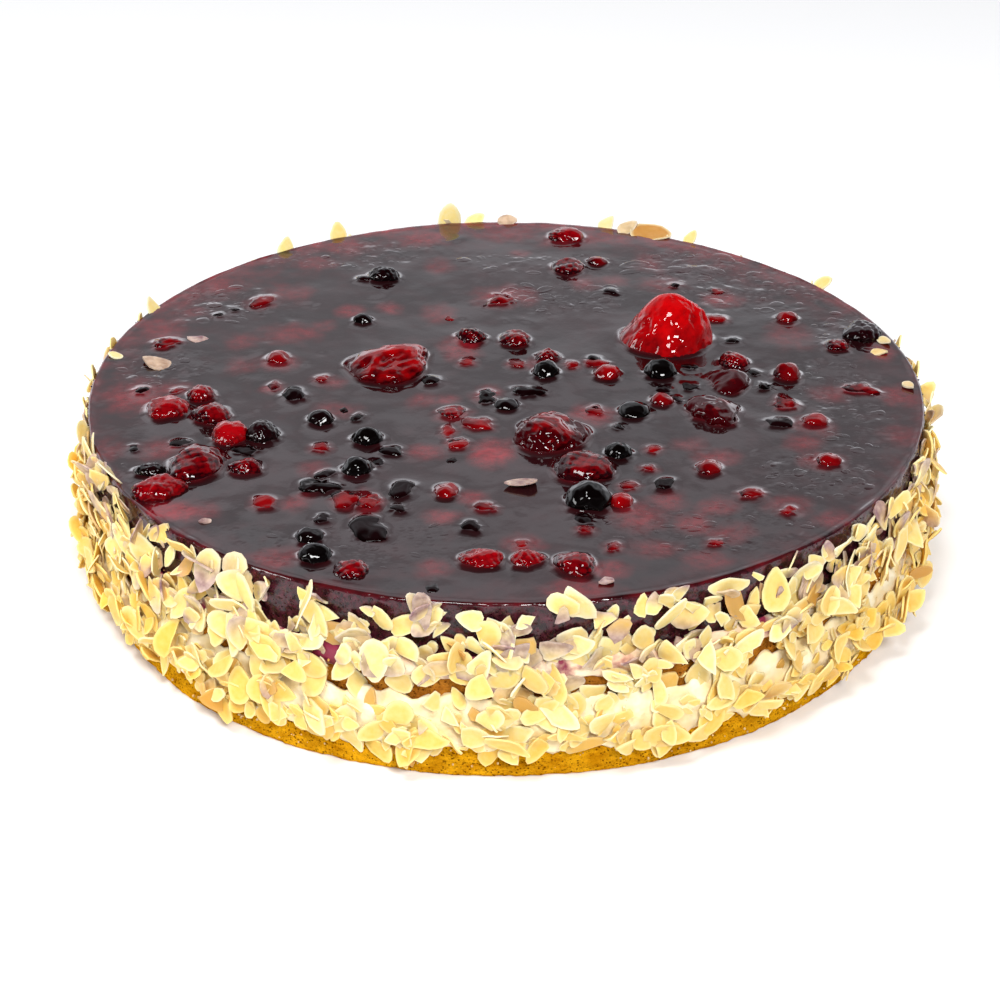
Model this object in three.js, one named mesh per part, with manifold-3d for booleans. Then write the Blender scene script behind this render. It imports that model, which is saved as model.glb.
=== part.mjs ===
// A round fruit tart in millimetres, +Z up, its centre on the Z axis and its foot at z = 0. Two sponges
// and two creams carry a thick jelly, berries sit in the jelly, and flaked almonds cover the side.
import * as THREE from "three";
import { mergeVertices } from "three/addons/utils/BufferGeometryUtils.js";
import Module from "manifold-3d";

const wasm = await Module();
wasm.setup();

// Driving dimensions
const tartRadius = 140;
const spongeBaseTop = 14;
const creamLowerTop = 26;
const spongeMiddleTop = 37;
const creamUpperTop = 42;
const jellyTop = 61;
const roundSteps = 40;
const gap = 0.3;

// The creams are smeared a little over the edges of the layers next to them.
const creamLowerProud = 3.4;
const creamLowerLap = 3.5;
const creamUpperProud = 1.6;
const creamUpperLap = 1;
const lapInner = tartRadius + gap + 0.1;

const flakeThickness = 1.1;
const flakePoints = 6;
const flakeBreadth = 0.64;
const flakeReach = 148.8;

const colours = {
  sponge: 0xd2922e,
  spongeMiddle: 0xb4681e,
  cream: 0xfaf0cf,
  creamUpper: 0xf3dcd0,
  jelly: 0x2a0f18,
  strawberry: 0xb3121a,
  raspberry: 0x8c1220,
  bramble: 0x1a0a12,
  blueberry: 0x14131f,
  redcurrant: 0xa3101c,
  blackcurrant: 0x120c12,
};

// One seeded stream of numbers from 0 to 1, so that each build gives the same tart.
let seed = 20461;
function random() {
  seed = (seed * 1664525 + 1013904223) % 4294967296;
  return seed / 4294967296;
}
const between = (low, high) => low + (high - low) * random();
const radians = (degrees) => (degrees * Math.PI) / 180;

// Solids

function solidFrom(geometry) {
  const bare = geometry.clone();
  bare.deleteAttribute("normal");
  bare.deleteAttribute("uv");
  const merged = mergeVertices(bare, 1e-4);
  return new wasm.Manifold(
    new wasm.Mesh({
      numProp: 3,
      vertProperties: new Float32Array(merged.attributes.position.array),
      triVerts: new Uint32Array(merged.index.array),
    }),
  );
}

function geometryFrom(solid) {
  const mesh = solid.getMesh();
  const positions = new Float32Array(mesh.numVert * 3);
  for (let i = 0; i < mesh.numVert; i += 1) {
    const start = i * mesh.numProp;
    positions.set(mesh.vertProperties.subarray(start, start + 3), i * 3);
  }
  const geometry = new THREE.BufferGeometry();
  geometry.setAttribute("position", new THREE.BufferAttribute(positions, 3));
  geometry.setIndex(new THREE.BufferAttribute(mesh.triVerts, 1));
  geometry.computeVertexNormals();
  return geometry;
}

const largestOf = (solid) =>
  solid.decompose().reduce((best, next) => (next.volume() > best.volume() ? next : best));

const joined = (solids) => solids.reduce((whole, next) => whole.add(next));

// A tart pressed by hand is not quite round: its radius swells and shrinks by about half a millimetre.
function unevenness(angle) {
  return 1 + 0.0024 * Math.sin(3 * angle + 1.1) + 0.0017 * Math.sin(5 * angle + 0.4);
}

// A turned solid from its profile, given as [radius, height] pairs from the axis at the foot to the axis
// on top.
function turnedSolid(profile) {
  const points = profile.map(([radius, height]) => new THREE.Vector2(radius, height));
  const geometry = new THREE.LatheGeometry(points, roundSteps).rotateX(Math.PI / 2);
  const position = geometry.attributes.position;
  for (let i = 0; i < position.count; i += 1) {
    const swell = unevenness(Math.atan2(position.getY(i), position.getX(i)));
    position.setXY(i, position.getX(i) * swell, position.getY(i) * swell);
  }
  return solidFrom(geometry);
}

// Layers

function spongeBase() {
  const bulge = 0.7;
  return turnedSolid([
    [0, 0],
    [tartRadius - 1.5, 0],
    [tartRadius - 0.2, 1.6],
    [tartRadius - 0.6 + bulge, spongeBaseTop * 0.55],
    [tartRadius - 0.6, spongeBaseTop],
    [0, spongeBaseTop],
  ]);
}

function spongeMiddle() {
  return turnedSolid([
    [0, creamLowerTop],
    [tartRadius - 0.8, creamLowerTop],
    [tartRadius - 0.2, (creamLowerTop + spongeMiddleTop) / 2],
    [tartRadius - 0.8, spongeMiddleTop],
    [0, spongeMiddleTop],
  ]);
}

// A layer of cream that runs through the tart, laps over its neighbours' edges and stands proud at mid
// height.
const creamLower = {
  foot: spongeBaseTop,
  top: creamLowerTop,
  outer: tartRadius + creamLowerProud,
  lap: creamLowerLap,
};
const creamUpper = {
  foot: spongeMiddleTop,
  top: creamUpperTop,
  outer: tartRadius + creamUpperProud,
  lap: creamUpperLap,
};

function creamLayer({ foot, top, outer, lap }) {
  return turnedSolid([
    [0, foot],
    [lapInner, foot],
    [lapInner, foot - lap],
    [outer, (foot + top) / 2],
    [lapInner, top + lap],
    [lapInner, top],
    [0, top],
  ]);
}

// The radius of a cream's side at one height.
function creamSide({ foot, top, outer, lap }, height) {
  const half = (top - foot) / 2 + lap;
  const away = Math.abs(height - (foot + top) / 2) / half;
  return lapInner + (outer - lapInner) * Math.max(0, 1 - away);
}

function jellyDisc() {
  return turnedSolid([
    [0, creamUpperTop],
    [tartRadius - 0.3, creamUpperTop],
    [tartRadius, jellyTop - 1.2],
    [tartRadius - 0.9, jellyTop],
    [0, jellyTop],
  ]);
}

// Almond flakes

// A thin slice of almond: round at one end, pointed at the other, its face turned to +X and its length
// along +Z.
function flakeGeometry(length, width) {
  const outline = new THREE.Shape();
  for (let i = 0; i < flakePoints; i += 1) {
    const turn = (i / flakePoints) * Math.PI * 2;
    const along = (Math.cos(turn) * length) / 2;
    const across = ((Math.sin(turn) * width) / 2) * (1 - 0.3 * Math.cos(turn));
    if (i === 0) outline.moveTo(across, along);
    else outline.lineTo(across, along);
  }
  outline.closePath();
  return new THREE.ExtrudeGeometry(outline, { depth: flakeThickness, bevelEnabled: false, steps: 1 })
    .translate(0, 0, -flakeThickness / 2)
    .rotateX(Math.PI / 2)
    .rotateZ(Math.PI / 2);
}

// Flakes spread evenly over a band of the side: in equal steps round the tart, and by the golden rule up
// the band. Each leans a little and bites into the side, but reaches no further out than flakeReach.
const goldenStep = 0.754877;

function flakesOn({ count, low, high, side, lean, longest }) {
  const flakes = [];
  for (let i = 0; i < count; i += 1) {
    const length = between(longest * 0.72, longest);
    const width = length * flakeBreadth * between(0.88, 1.12);
    const turn = between(-Math.PI, Math.PI);
    const reach = (Math.hypot(length * Math.cos(turn), width * Math.sin(turn)) / 2) * 1.05;
    const share = (i * goldenStep + 0.3) % 1;
    const height = low + reach + share * Math.max(0, high - low - 2 * reach);
    const angle = ((i + between(-0.25, 0.25)) / count) * Math.PI * 2;
    const [tip, roll] = [between(-lean, lean), between(-lean, lean)];
    const dip = (width * Math.abs(Math.sin(tip)) + length * Math.abs(Math.sin(roll))) / 2;
    const distance = Math.min(side(height) * unevenness(angle) + 0.1 + dip * 0.5, flakeReach - dip);
    const placed = new THREE.Matrix4()
      .makeRotationZ(angle)
      .multiply(new THREE.Matrix4().makeTranslation(distance, 0, height))
      .multiply(new THREE.Matrix4().makeRotationX(turn))
      .multiply(new THREE.Matrix4().makeRotationZ(tip))
      .multiply(new THREE.Matrix4().makeRotationY(roll));
    flakes.push(solidFrom(flakeGeometry(length, width).applyMatrix4(placed)));
  }
  return flakes;
}

// Flakes that came to lie or stand at the rim of the jelly: x, y, height of the middle above the jelly,
// length, turn in the flake's own plane, and lean from upright, all angles in degrees.
const rimFlakes = [
  [-22, 140.4, -4.6, 15, 12, 6],
  [-65, 126, 0.4, 11, 70, 76],
  [-127, 57, 0.4, 11, 20, 78],
  [57, 127, 0.5, 18, 78, 86],
  [40, 134, 0.4, 11, 30, 78],
  [-123, -68, -4.4, 14, 30, 8],
  [-120, 12, 0.4, 12, 40, 88],
  [118, 78, 0.4, 11, 80, 78],
];

function flakesAtRim() {
  return rimFlakes.map(([x, y, rise, length, turn, lean]) => {
    const placed = new THREE.Matrix4()
      .makeRotationZ(Math.atan2(y, x))
      .multiply(new THREE.Matrix4().makeTranslation(Math.hypot(x, y), 0, jellyTop + rise))
      .multiply(new THREE.Matrix4().makeRotationY(-radians(lean)))
      .multiply(new THREE.Matrix4().makeRotationX(radians(turn)));
    return solidFrom(flakeGeometry(length, length * flakeBreadth).applyMatrix4(placed));
  });
}

// The inside of the tart, grown by the gap: the creams' flakes are cut back to it and so stay clear of the
// layers.
function grownInside() {
  const inner = tartRadius + gap + 0.05;
  const spare = 20;
  return turnedSolid([
    [0, -spare],
    [inner, -spare],
    [inner, jellyTop + spare],
    [0, jellyTop + spare],
  ]);
}

const layersInside = grownInside();

function withFlakes(layer, band) {
  const flakes = flakesOn(band).map((flake) => flake.subtract(layersInside));
  return largestOf(joined([layer, ...flakes]));
}

// Berries

// along and thick are shares of the berry's width. taper draws the tip in, knobs are drupelets, and dimple
// is the dent at a crown.
const berryKinds = {
  strawberry: { along: 1.16, thick: 0.92, taper: 0.34, knobs: 0.015, dimple: 0 },
  raspberry: { along: 1.08, thick: 0.9, taper: 0.18, knobs: 0.07, dimple: 0 },
  bramble: { along: 1.1, thick: 0.9, taper: 0.1, knobs: 0.08, dimple: 0 },
  blueberry: { along: 1, thick: 0.92, taper: 0, knobs: 0, dimple: 0.14 },
  redcurrant: { along: 1.04, thick: 0.94, taper: 0.04, knobs: 0, dimple: 0.08 },
  blackcurrant: { along: 1.02, thick: 0.92, taper: 0.03, knobs: 0, dimple: 0.08 },
};

// Steps round and along a berry: the larger it is, the finer.
function berrySteps(width) {
  if (width >= 20) return [11, 7];
  if (width >= 16) return [9, 6];
  if (width >= 12) return [8, 5];
  if (width >= 9) return [7, 4];
  return [6, 4];
}

// A berry whose tip points along +Y, with its crown at -Y, grown all over by extra.
function berryGeometry(kind, width, stretch, extra) {
  const shape = berryKinds[kind];
  const [round, rings] = berrySteps(width);
  const geometry = mergeVertices(bareSphere(round, rings), 1e-5);
  const position = geometry.attributes.position;
  const half = [width / 2, (width * shape.along * stretch) / 2, (width * shape.thick) / 2];
  for (let i = 0; i < position.count; i += 1) {
    const [x, y, z] = [position.getX(i), position.getY(i), position.getZ(i)];
    const drawn = 1 - shape.taper * y;
    const knob = 1 + (extra > 0 ? shape.knobs : shape.knobs * (i % 2 ? 1 : -1));
    const dent = y < -0.9 ? 1 - shape.dimple : 1;
    position.setXYZ(
      i,
      x * drawn * knob * (half[0] + extra),
      y * knob * dent * (half[1] + extra),
      z * drawn * knob * (half[2] + extra),
    );
  }
  return geometry;
}

function bareSphere(round, rings) {
  const sphere = new THREE.SphereGeometry(1, round, rings);
  sphere.deleteAttribute("normal");
  sphere.deleteAttribute("uv");
  return sphere;
}

// Berries that stand out of the jelly: x, y, width, height above the jelly, turn of the tip round +Z in
// degrees, lean of the tip above the level in degrees, and length as a share of the kind's own.
const berries = {
  strawberry: [
    [56, 33, 33, 16.5, 8, 74, 0.86],
    [-40, 12, 25, 6.5, -40, 8, 1],
    [15, -38, 24, 7.5, 20, 6, 0.9],
    [70, -24, 17.5, 5.5, -60, 6, 0.8],
    [73, -2, 16.5, 4, 80, 0, 0.7],
  ],
  raspberry: [
    [24, -61, 18, 5, 8, 5, 0.95],
    [-96, -60, 18, 6, -35, 4, 1.2],
    [-106, -75, 12, 4.4, -62, 0, 1.45],
    [-112, -23, 14, 4.6, 30, 8, 0.9],
    [-96, -26, 13.5, 5, -20, 10, 0.9],
    [-101, -12, 10, 4.2, 10, 10, 1.1],
    [-89, -41, 12, 5.4, 15, 20, 0.95],
    [-81, -62, 11, 4, -10, 0, 0.95],
    [-12, 31, 11.5, 4.8, -70, 12, 0.9],
    [3, 31, 11.5, 3.6, 80, 0, 0.9],
    [23, 93, 13.5, 3.4, 60, 0, 0.85],
    [23, 125, 14.5, 4, 10, 0, 0.9],
    [116, 26, 9, 3, 0, 0, 1],
    [15, 17, 9, 3.8, 0, 10, 1],
    [79, 13, 11, 4.6, 20, 20, 0.9],
    [-7, -116, 10, 3, 84, 0, 1.35],
    [7, -117, 10, 3.2, -80, 0, 1.1],
    [20, -119, 13, 4, -50, 0, 0.85],
    [-44, -122, 11, 3, 0, 0, 0.95],
    [-18, -24, 9, 2.2, 70, 0, 0.9],
  ],
  bramble: [
    [-79, -40, 13, 5.6, -10, 10, 0.9],
    [-111, -64, 8, 3.2, 86, 0, 1.35],
    [-45, 85, 11.5, 4.6, 10, 10, 0.95],
    [126, 37, 14, 4.2, -20, 0, 0.95],
  ],
  blueberry: [
    [25.5, -82, 15, 7.4, 30, 20, 1],
    [53, 5, 12, 5.4, 0, 30, 1],
    [14, 4, 10.5, 5, -20, 20, 1],
    [42.5, -24, 11, 3.6, 0, 50, 1],
    [-44, -43, 11, 5, 0, 20, 1],
    [-46, -64, 10.5, 5.5, 10, 20, 1],
    [-55, -115, 10.5, 4.6, 0, 20, 1],
    [36, -53, 8.8, 4.6, 0, 20, 1],
  ],
  redcurrant: [
    [35, -83, 9, 3.2, 0, 0, 1],
    [96, 3, 10, 5, 0, 20, 1],
    [35, 4, 9.8, 3.8, 0, 10, 1],
    [52, -16, 8.4, 3.4, 0, 0, 1],
    [64, -62, 9, 3.2, 0, 0, 1],
    [102, -57, 8.4, 3, 0, 0, 1],
    [101, -30, 8.4, 2.8, 0, 0, 1],
    [-18, -77, 8, 3, 0, 0, 1.3],
    [101, 49, 8, 3, 0, 0, 1],
    [35, 99, 8, 2.6, 0, 0, 1],
    [-78, 16, 9, 2.6, 0, 0, 1],
  ],
  blackcurrant: [
    [-60, -30, 9, 4, 0, 0, 1],
    [1, -19, 9, 2.8, 0, 0, 1],
    [-58, -104, 8.4, 3.2, 0, 0, 1],
    [-51, 47, 7, 2.8, 0, 0, 1],
  ],
};

// Small currants, mostly sunk, that stand out of the jelly as low domes: x, y, width.
const sunkCurrants = [
  [0, 66, 9],
  [75, 49, 7],
  [-89, 65, 7],
  [31, 13, 7],
  [88, -5, 7.5],
  [89, -31, 8],
  [93, -17, 8.5],
  [8, -9, 8],
  [-70, -12, 7.5],
  [-36, -52, 7],
  [-8, -32, 8],
  [-15, -45, 7],
  [-57, -75, 8],
  [-49, -82, 7],
  [-32, -77, 7.5],
  [-41, -99, 10],
  [-10, -97, 7],
  [-6, -12, 7.5],
  [49, -70, 7],
  [14, -97, 7],
  [76, -77, 6],
  [-73, -84, 6.5],
  [-5, -86, 6.5],
  [119, -6, 7.5],
  [-118, 28, 7.5],
];
const sunkRise = 0.22;

// A berry turned and leant, and set so that its top stands that far above the jelly.
function placedBerry(kind, [x, y, width, rise, turn, lean, stretch], extra) {
  const geometry = berryGeometry(kind, width, stretch, extra)
    .rotateX(radians(lean))
    .rotateZ(radians(turn));
  const measured = berryGeometry(kind, width, stretch, 0).rotateX(radians(lean));
  measured.computeBoundingBox();
  geometry.translate(x, y, jellyTop + rise - measured.boundingBox.max.z);
  return solidFrom(geometry);
}

// Every berry as a solid, each pressed flat where it meets one that was placed before it. Its pocket is
// the hole that it leaves in the jelly.
const pocketGap = gap * 1.4;

function berrySolids() {
  const made = [];
  for (const [kind, rows] of Object.entries(berries)) {
    rows.forEach((row, index) => {
      let solid = placedBerry(kind, row, 0);
      for (const earlier of made) solid = solid.subtract(earlier.pocket);
      made.push({
        name: `${kind}_${index + 1}`,
        kind,
        solid: largestOf(solid),
        pocket: placedBerry(kind, row, pocketGap),
      });
    });
  }
  return made;
}

// A low dome on the jelly over a currant that is mostly sunk.
function sunkDome([x, y, width]) {
  const sunk = 0.2;
  const dome = bareSphere(6, 4)
    .rotateX(Math.PI / 2)
    .scale(width / 2, width / 2, width * sunkRise)
    .translate(x, y, jellyTop - sunk);
  return solidFrom(dome);
}

function jelly(berryList) {
  let solid = jellyDisc();
  for (const berry of berryList) solid = solid.subtract(berry.pocket);
  const domes = sunkCurrants.map(sunkDome).map((dome) => {
    let kept = dome;
    for (const berry of berryList) kept = kept.subtract(berry.pocket);
    return kept;
  });
  return largestOf(joined([solid, ...domes, ...flakesOn(almondBands.jelly), ...flakesAtRim()]));
}

// The bands of the side that each layer's flakes cover.
const almondBands = {
  creamLower: {
    count: 74,
    low: 3.5,
    high: 31,
    side: (height) => creamSide(creamLower, height),
    lean: 0.44,
    longest: 15.5,
  },
  creamUpper: {
    count: 38,
    low: 31.4,
    high: 46,
    side: (height) => creamSide(creamUpper, height),
    lean: 0.34,
    longest: 14,
  },
  jelly: {
    count: 34,
    low: 46.4,
    high: jellyTop + 1.5,
    side: () => tartRadius,
    lean: 0.36,
    longest: 13.5,
  },
};

// The tart

const tart = new THREE.Group();

function add(name, solid, colour, roughness) {
  const material = new THREE.MeshStandardMaterial({ color: colour, roughness, metalness: 0 });
  const mesh = new THREE.Mesh(geometryFrom(solid), material);
  mesh.name = name;
  tart.add(mesh);
}

const berryList = berrySolids();

add("sponge_base", spongeBase(), colours.sponge, 0.85);
add("cream_lower", withFlakes(creamLayer(creamLower), almondBands.creamLower), colours.cream, 0.45);
add("sponge_middle", spongeMiddle(), colours.spongeMiddle, 0.85);
add("cream_upper", withFlakes(creamLayer(creamUpper), almondBands.creamUpper), colours.creamUpper, 0.45);
add("jelly", jelly(berryList), colours.jelly, 0.12);
for (const { name, kind, solid } of berryList) add(name, solid, colours[kind], 0.15);

export default tart;
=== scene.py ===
"""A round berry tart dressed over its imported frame.

Two sponges and two creams carry a dark jelly. Berries sit in the jelly, and flaked almonds cover the side.
Lengths are in millimetres until a mesh is written, which is in metres.
"""
import math
import random

import bpy
import numpy as np
from mathutils import Matrix, Vector, noise


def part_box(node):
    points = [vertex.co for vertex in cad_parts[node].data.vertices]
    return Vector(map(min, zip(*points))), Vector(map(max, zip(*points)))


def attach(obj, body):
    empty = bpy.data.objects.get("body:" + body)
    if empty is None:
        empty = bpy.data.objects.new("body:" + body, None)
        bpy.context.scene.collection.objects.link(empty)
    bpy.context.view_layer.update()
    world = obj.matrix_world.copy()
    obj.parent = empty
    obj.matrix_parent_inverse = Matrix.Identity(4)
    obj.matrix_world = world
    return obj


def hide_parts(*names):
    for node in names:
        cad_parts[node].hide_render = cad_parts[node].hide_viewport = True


MM = 0.001

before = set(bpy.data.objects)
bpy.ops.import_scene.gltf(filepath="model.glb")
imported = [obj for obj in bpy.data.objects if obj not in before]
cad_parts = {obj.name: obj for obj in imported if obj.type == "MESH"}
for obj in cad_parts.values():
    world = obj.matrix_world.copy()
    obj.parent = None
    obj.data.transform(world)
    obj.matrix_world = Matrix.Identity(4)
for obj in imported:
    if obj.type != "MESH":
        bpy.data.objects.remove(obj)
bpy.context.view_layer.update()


def height_of(node, end):
    """The lowest (0) or highest (1) level of a layer in millimetres."""
    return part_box(node)[end].z / MM


# Driving sizes, read from the frame where it has them
BASE_LOW, BASE_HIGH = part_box("sponge_base")
TART_RADIUS = (BASE_HIGH.x - BASE_LOW.x) / 2 / MM
SPONGE_TOP = height_of("sponge_base", 1)
MIDDLE_FOOT = height_of("sponge_middle", 0)
MIDDLE_TOP = height_of("sponge_middle", 1)
JELLY_FOOT = height_of("jelly", 0)
JELLY_DEPTH = 19
JELLY_TOP = JELLY_FOOT + JELLY_DEPTH
LAP = TART_RADIUS + 0.4

# How far out a flake may reach, and the radius at which flakes are counted as lying on one another
FLAKE_REACH = 150.3
COAT_RADIUS = 142

# Steps round a turned layer
AROUND = 560

# Fruit that stands out of the jelly, in the order of its nodes: width, turn of the tip round +Z, lean of the
# tip above the level, length as a share of the kind's own, and how deep its colour is from 0 to 1.
STANDING = {
    "strawberry": [
        (33, 8, 74, 0.86, 0.0), (25, -40, 8, 1, 0.48), (24, 20, 6, 0.9, 0.62),
        (17.5, -60, 6, 0.8, 0.85), (16.5, 80, 0, 0.7, 0.95),
    ],
    "raspberry": [
        (18, 8, 5, 0.95, 0.55), (18, -35, 4, 1.2, 0.5), (12, -62, 0, 1.45, 0.15),
        (14, 30, 8, 0.9, 0.15), (13.5, -20, 10, 0.9, 0.45), (10, 10, 10, 1.1, 0.4),
        (12, 15, 20, 0.95, 0), (11, -10, 0, 0.95, 0.5), (11.5, -70, 12, 0.9, 0.65),
        (11.5, 80, 0, 0.9, 0.5), (13.5, 60, 0, 0.85, 0.55), (14.5, 10, 0, 0.9, 0.2),
        (9, 0, 0, 1, 0.6), (9, 0, 10, 1, 0.5), (11, 20, 20, 0.9, 0.45),
        (10, 84, 0, 1.35, 0.1), (10, -80, 0, 1.1, 0.1), (13, -50, 0, 0.85, 0.4),
        (11, 0, 0, 0.95, 0.4), (9, 70, 0, 0.9, 0.45),
    ],
    "bramble": [
        (13, -10, 10, 0.9, 0.3), (8, 86, 0, 1.35, 0.5), (11.5, 10, 10, 0.95, 0.5),
        (14, -20, 0, 0.95, 0.1),
    ],
    "blueberry": [
        (15, 30, 20, 1, 0.5), (12, 0, 30, 1, 0.5), (10.5, -20, 20, 1, 0.5),
        (11, 0, 50, 1, 0.5), (11, 0, 20, 1, 0.5), (10.5, 10, 20, 1, 0.5),
        (10.5, 0, 20, 1, 0.5), (8.8, 0, 20, 1, 0.5),
    ],
    "redcurrant": [
        (9, 0, 0, 1, 0.15), (10, 0, 20, 1, 0.4), (9.8, 0, 10, 1, 0.15),
        (8.4, 0, 0, 1, 0.4), (9, 0, 0, 1, 0.4), (8.4, 0, 0, 1, 0.35),
        (8.4, 0, 0, 1, 0.3), (8, 0, 0, 1.3, 0.3), (8, 0, 0, 1, 0.4),
        (8, 0, 0, 1, 0.5), (9, 0, 0, 1, 0.3),
    ],
    "blackcurrant": [
        (9, 0, 0, 1, 0.3), (9, 0, 0, 1, 0.4), (8.4, 0, 0, 1, 0.4),
        (7, 0, 0, 1, 0.5),
    ],
}

# along and thick are shares of the width, and taper draws the tip in. pitch is the distance between
# drupelets or seeds.
SHAPES = {
    "strawberry": {"along": 1.16, "thick": 0.92, "taper": 0.34, "pitch": 2.9},
    "raspberry": {"along": 1.08, "thick": 0.9, "taper": 0.18, "pitch": 2.0},
    "bramble": {"along": 1.1, "thick": 0.9, "taper": 0.1, "pitch": 2.2},
    "blueberry": {"along": 1, "thick": 0.92, "taper": 0, "pitch": 0},
    "redcurrant": {"along": 1.04, "thick": 0.94, "taper": 0.04, "pitch": 0},
    "blackcurrant": {"along": 1.02, "thick": 0.92, "taper": 0.03, "pitch": 0},
}

# How much wider than its node's box some fruit is, for the jelly that drapes it
LARGER = {
    "strawberry_2": 1.05, "strawberry_3": 1.06, "strawberry_4": 1.1, "strawberry_5": 1.25,
    "raspberry_1": 1.05,
}

# Small fruit that is mostly sunk: x, y, width and height above the jelly, of which a share shows.
SUNK_SHOWS = 0.82
SUNK_RED = [
    (0, 66, 12, 2.4), (-89, 65, 7, 1.4), (31, 13, 7, 1.4), (93, -17, 8.5, 1.8), (-8, -32, 8, 1.6),
    (-15, -45, 7, 1.4), (-49, -82, 8, 1.8), (-73, -84, 6.5, 1.4), (-5, -86, 6.5, 1.3), (76, -77, 6, 1.4),
    (-118, 28, 7.5, 1.6), (4, 12, 4.5, 0.9), (23, 11, 5.5, 1.5), (-13, 14, 4, 0.8), (30, -22, 6, 1),
    (-19, -37, 6, 1), (-62, 1, 5, 1.2), (-78, -4, 5, 1), (-59, -48, 5, 1.1), (-41, -83, 7, 1.8),
    (45, -61, 4, 0.9), (86, -88, 5, 1.2), (24, -99, 4.5, 1), (32, -109, 4.5, 1), (62, -106, 4, 0.9),
    (47, -49, 5, 1), (79, 74, 4, 0.6), (75, 49, 7, 1.6), (-20, 49, 3.5, 0.6), (119, -6, 7.5, 1.5),
    (5, -107, 4.5, 0.8), (38, -72, 5, 1), (-110, -8, 4, 0.8),
]
SUNK_BLACK = [
    (88, -5, 8, 1.7), (89, -31, 8, 1.7), (8, -9, 8, 1.8), (-70, -12, 8, 2), (-36, -50, 7, 1.6),
    (-57, -73, 8, 2), (-50, -80, 6, 1.3), (-32, -76, 8, 2), (-41, -98, 12, 1.4), (-10, -97, 7, 1.4),
    (-6, -12, 7.5, 1.4), (49, -71, 7, 1.5), (-98, 57, 3.5, 0.8), (-103, 52, 4, 0.9), (39, 73, 5, 1),
    (63, 78, 4, 1.2), (80, 31, 4.5, 1), (85, 6, 5, 1), (53, -7, 6, 1.5), (-48, -27, 4, 0.9),
    (-32, -87, 5, 0.9), (-55, -92, 5, 0.9), (24, -93, 7, 1.2), (-20, -131, 5, 0.7), (-25, 0, 7, 1.7),
    (-122, -8, 5, 1.2), (-82, -50, 7, 1), (-52, 83, 6, 1.5), (31, 14, 6.5, 1.6), (36, -34, 4, 0.8),
    (-16, -45, 4.5, 1), (-17, -56, 3, 0.5), (-56, -66, 5, 1.2), (-118, -48, 5, 0.7), (-104, -45, 6, 1),
    (62, -5, 5, 1.3), (57, -14, 4, 0.9), (-53, -22, 3, 0.5), (63, 10, 5, 1.2), (-40, -58, 4, 0.9),
]

# Fruit that shows dimly through the jelly: x, y, radii along x and y, and how red it shines from 0 to 1.
SUBMERGED = [
    (-124, -12, 11, 12, 0.55), (-112, 56, 5, 5, 0.3), (-80, 72, 9, 8, 0.35), (-56, 56, 5, 5, 0.5),
    (-42, 59, 4.5, 4.5, 0.5), (-24, 54, 6, 9, 0.35), (-76, 37, 10, 8, 0.42), (-92, 31, 6, 6, 0.38),
    (-64, 44, 5, 5, 0.25), (0, 69, 10, 9, 0.55), (-25, 96, 5, 8, 0.3), (6, 109, 4, 4, 0.3),
    (30, 81, 6, 6, 0.38), (41, 84, 5, 5, 0.32), (55, 100, 6, 9, 0.3), (59, 80, 9, 8, 0.3),
    (79, 67, 7, 7, 0.5), (100, 36, 8, 11, 0.3), (131, 22, 5, 6, 0.5), (-59, -1, 5, 5, 0.4),
    (-79, -6, 4, 4, 0.45), (-90, 12, 6, 6, 0.3), (-112, -6, 7, 6, 0.4), (-56, -22, 8, 6, 0.3),
    (-27, -15, 5, 5, 0.35), (-19, -14, 4, 4, 0.45), (-6, -10, 5, 6, 0.5), (29, -24, 7, 7, 0.6),
    (-17, -25, 6, 6, 0.5), (-4, -51, 6.5, 9, 0.85), (-26, -50, 7, 5, 0.45), (-60, -61, 5, 5, 0.3),
    (-110, -49, 7, 7, 0.4), (-130, -50, 8, 9, 0.35), (-64, -82, 5, 5, 0.4), (-42, -84, 5, 8, 0.5),
    (-10, -79, 4.5, 5, 0.5), (-19, -91, 6, 4, 0.5), (-100, -88, 11, 6, 0.75), (-67, -115, 9, 6, 0.4),
    (41, -90, 8, 9, 0.45), (50, -81, 6, 5, 0.4), (57, -94, 6, 6, 0.42), (65, -84, 6, 5, 0.42),
    (67, -100, 7, 6, 0.35), (44, -109, 8, 5, 0.35), (59, -115, 8, 6, 0.3), (22, -132, 11, 5, 0.5),
    (5, -107, 6, 5, 0.5), (-21, -120, 5, 5, 0.35), (30, -121, 6, 5, 0.5), (87, -85, 8, 6, 0.35),
    (100, -92, 7, 5, 0.35), (96, -44, 6, 6, 0.4), (101, -32, 7, 7, 0.35), (60, -45, 6, 4, 0.3),
    (67, -54, 7, 6, 0.45), (129, -39, 8, 8, 0.28), (132, -10, 7, 8, 0.4), (109, -9, 6, 6, 0.35),
    (-32, 124, 11, 8, 0.55), (-62, 116, 12, 9, 0.45), (-72, 100, 10, 8, 0.35), (-107, 79, 11, 9, 0.5),
    (-122, 40, 8, 12, 0.45), (40, 124, 14, 7, 0.45), (62, 119, 9, 5, 0.5), (82, 109, 12, 9, 0.35),
    (107, 90, 10, 10, 0.35), (0, 129, 13, 8, 0.45), (-15, 25, 7, 9, 0.55), (11, 12, 5, 5, 0.3),
    (101, -56, 7, 6, 0.4), (-78, 14, 7, 6, 0.45), (-89, 64, 6, 6, 0.35), (23, 122, 10, 8, 0.5),
]

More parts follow.
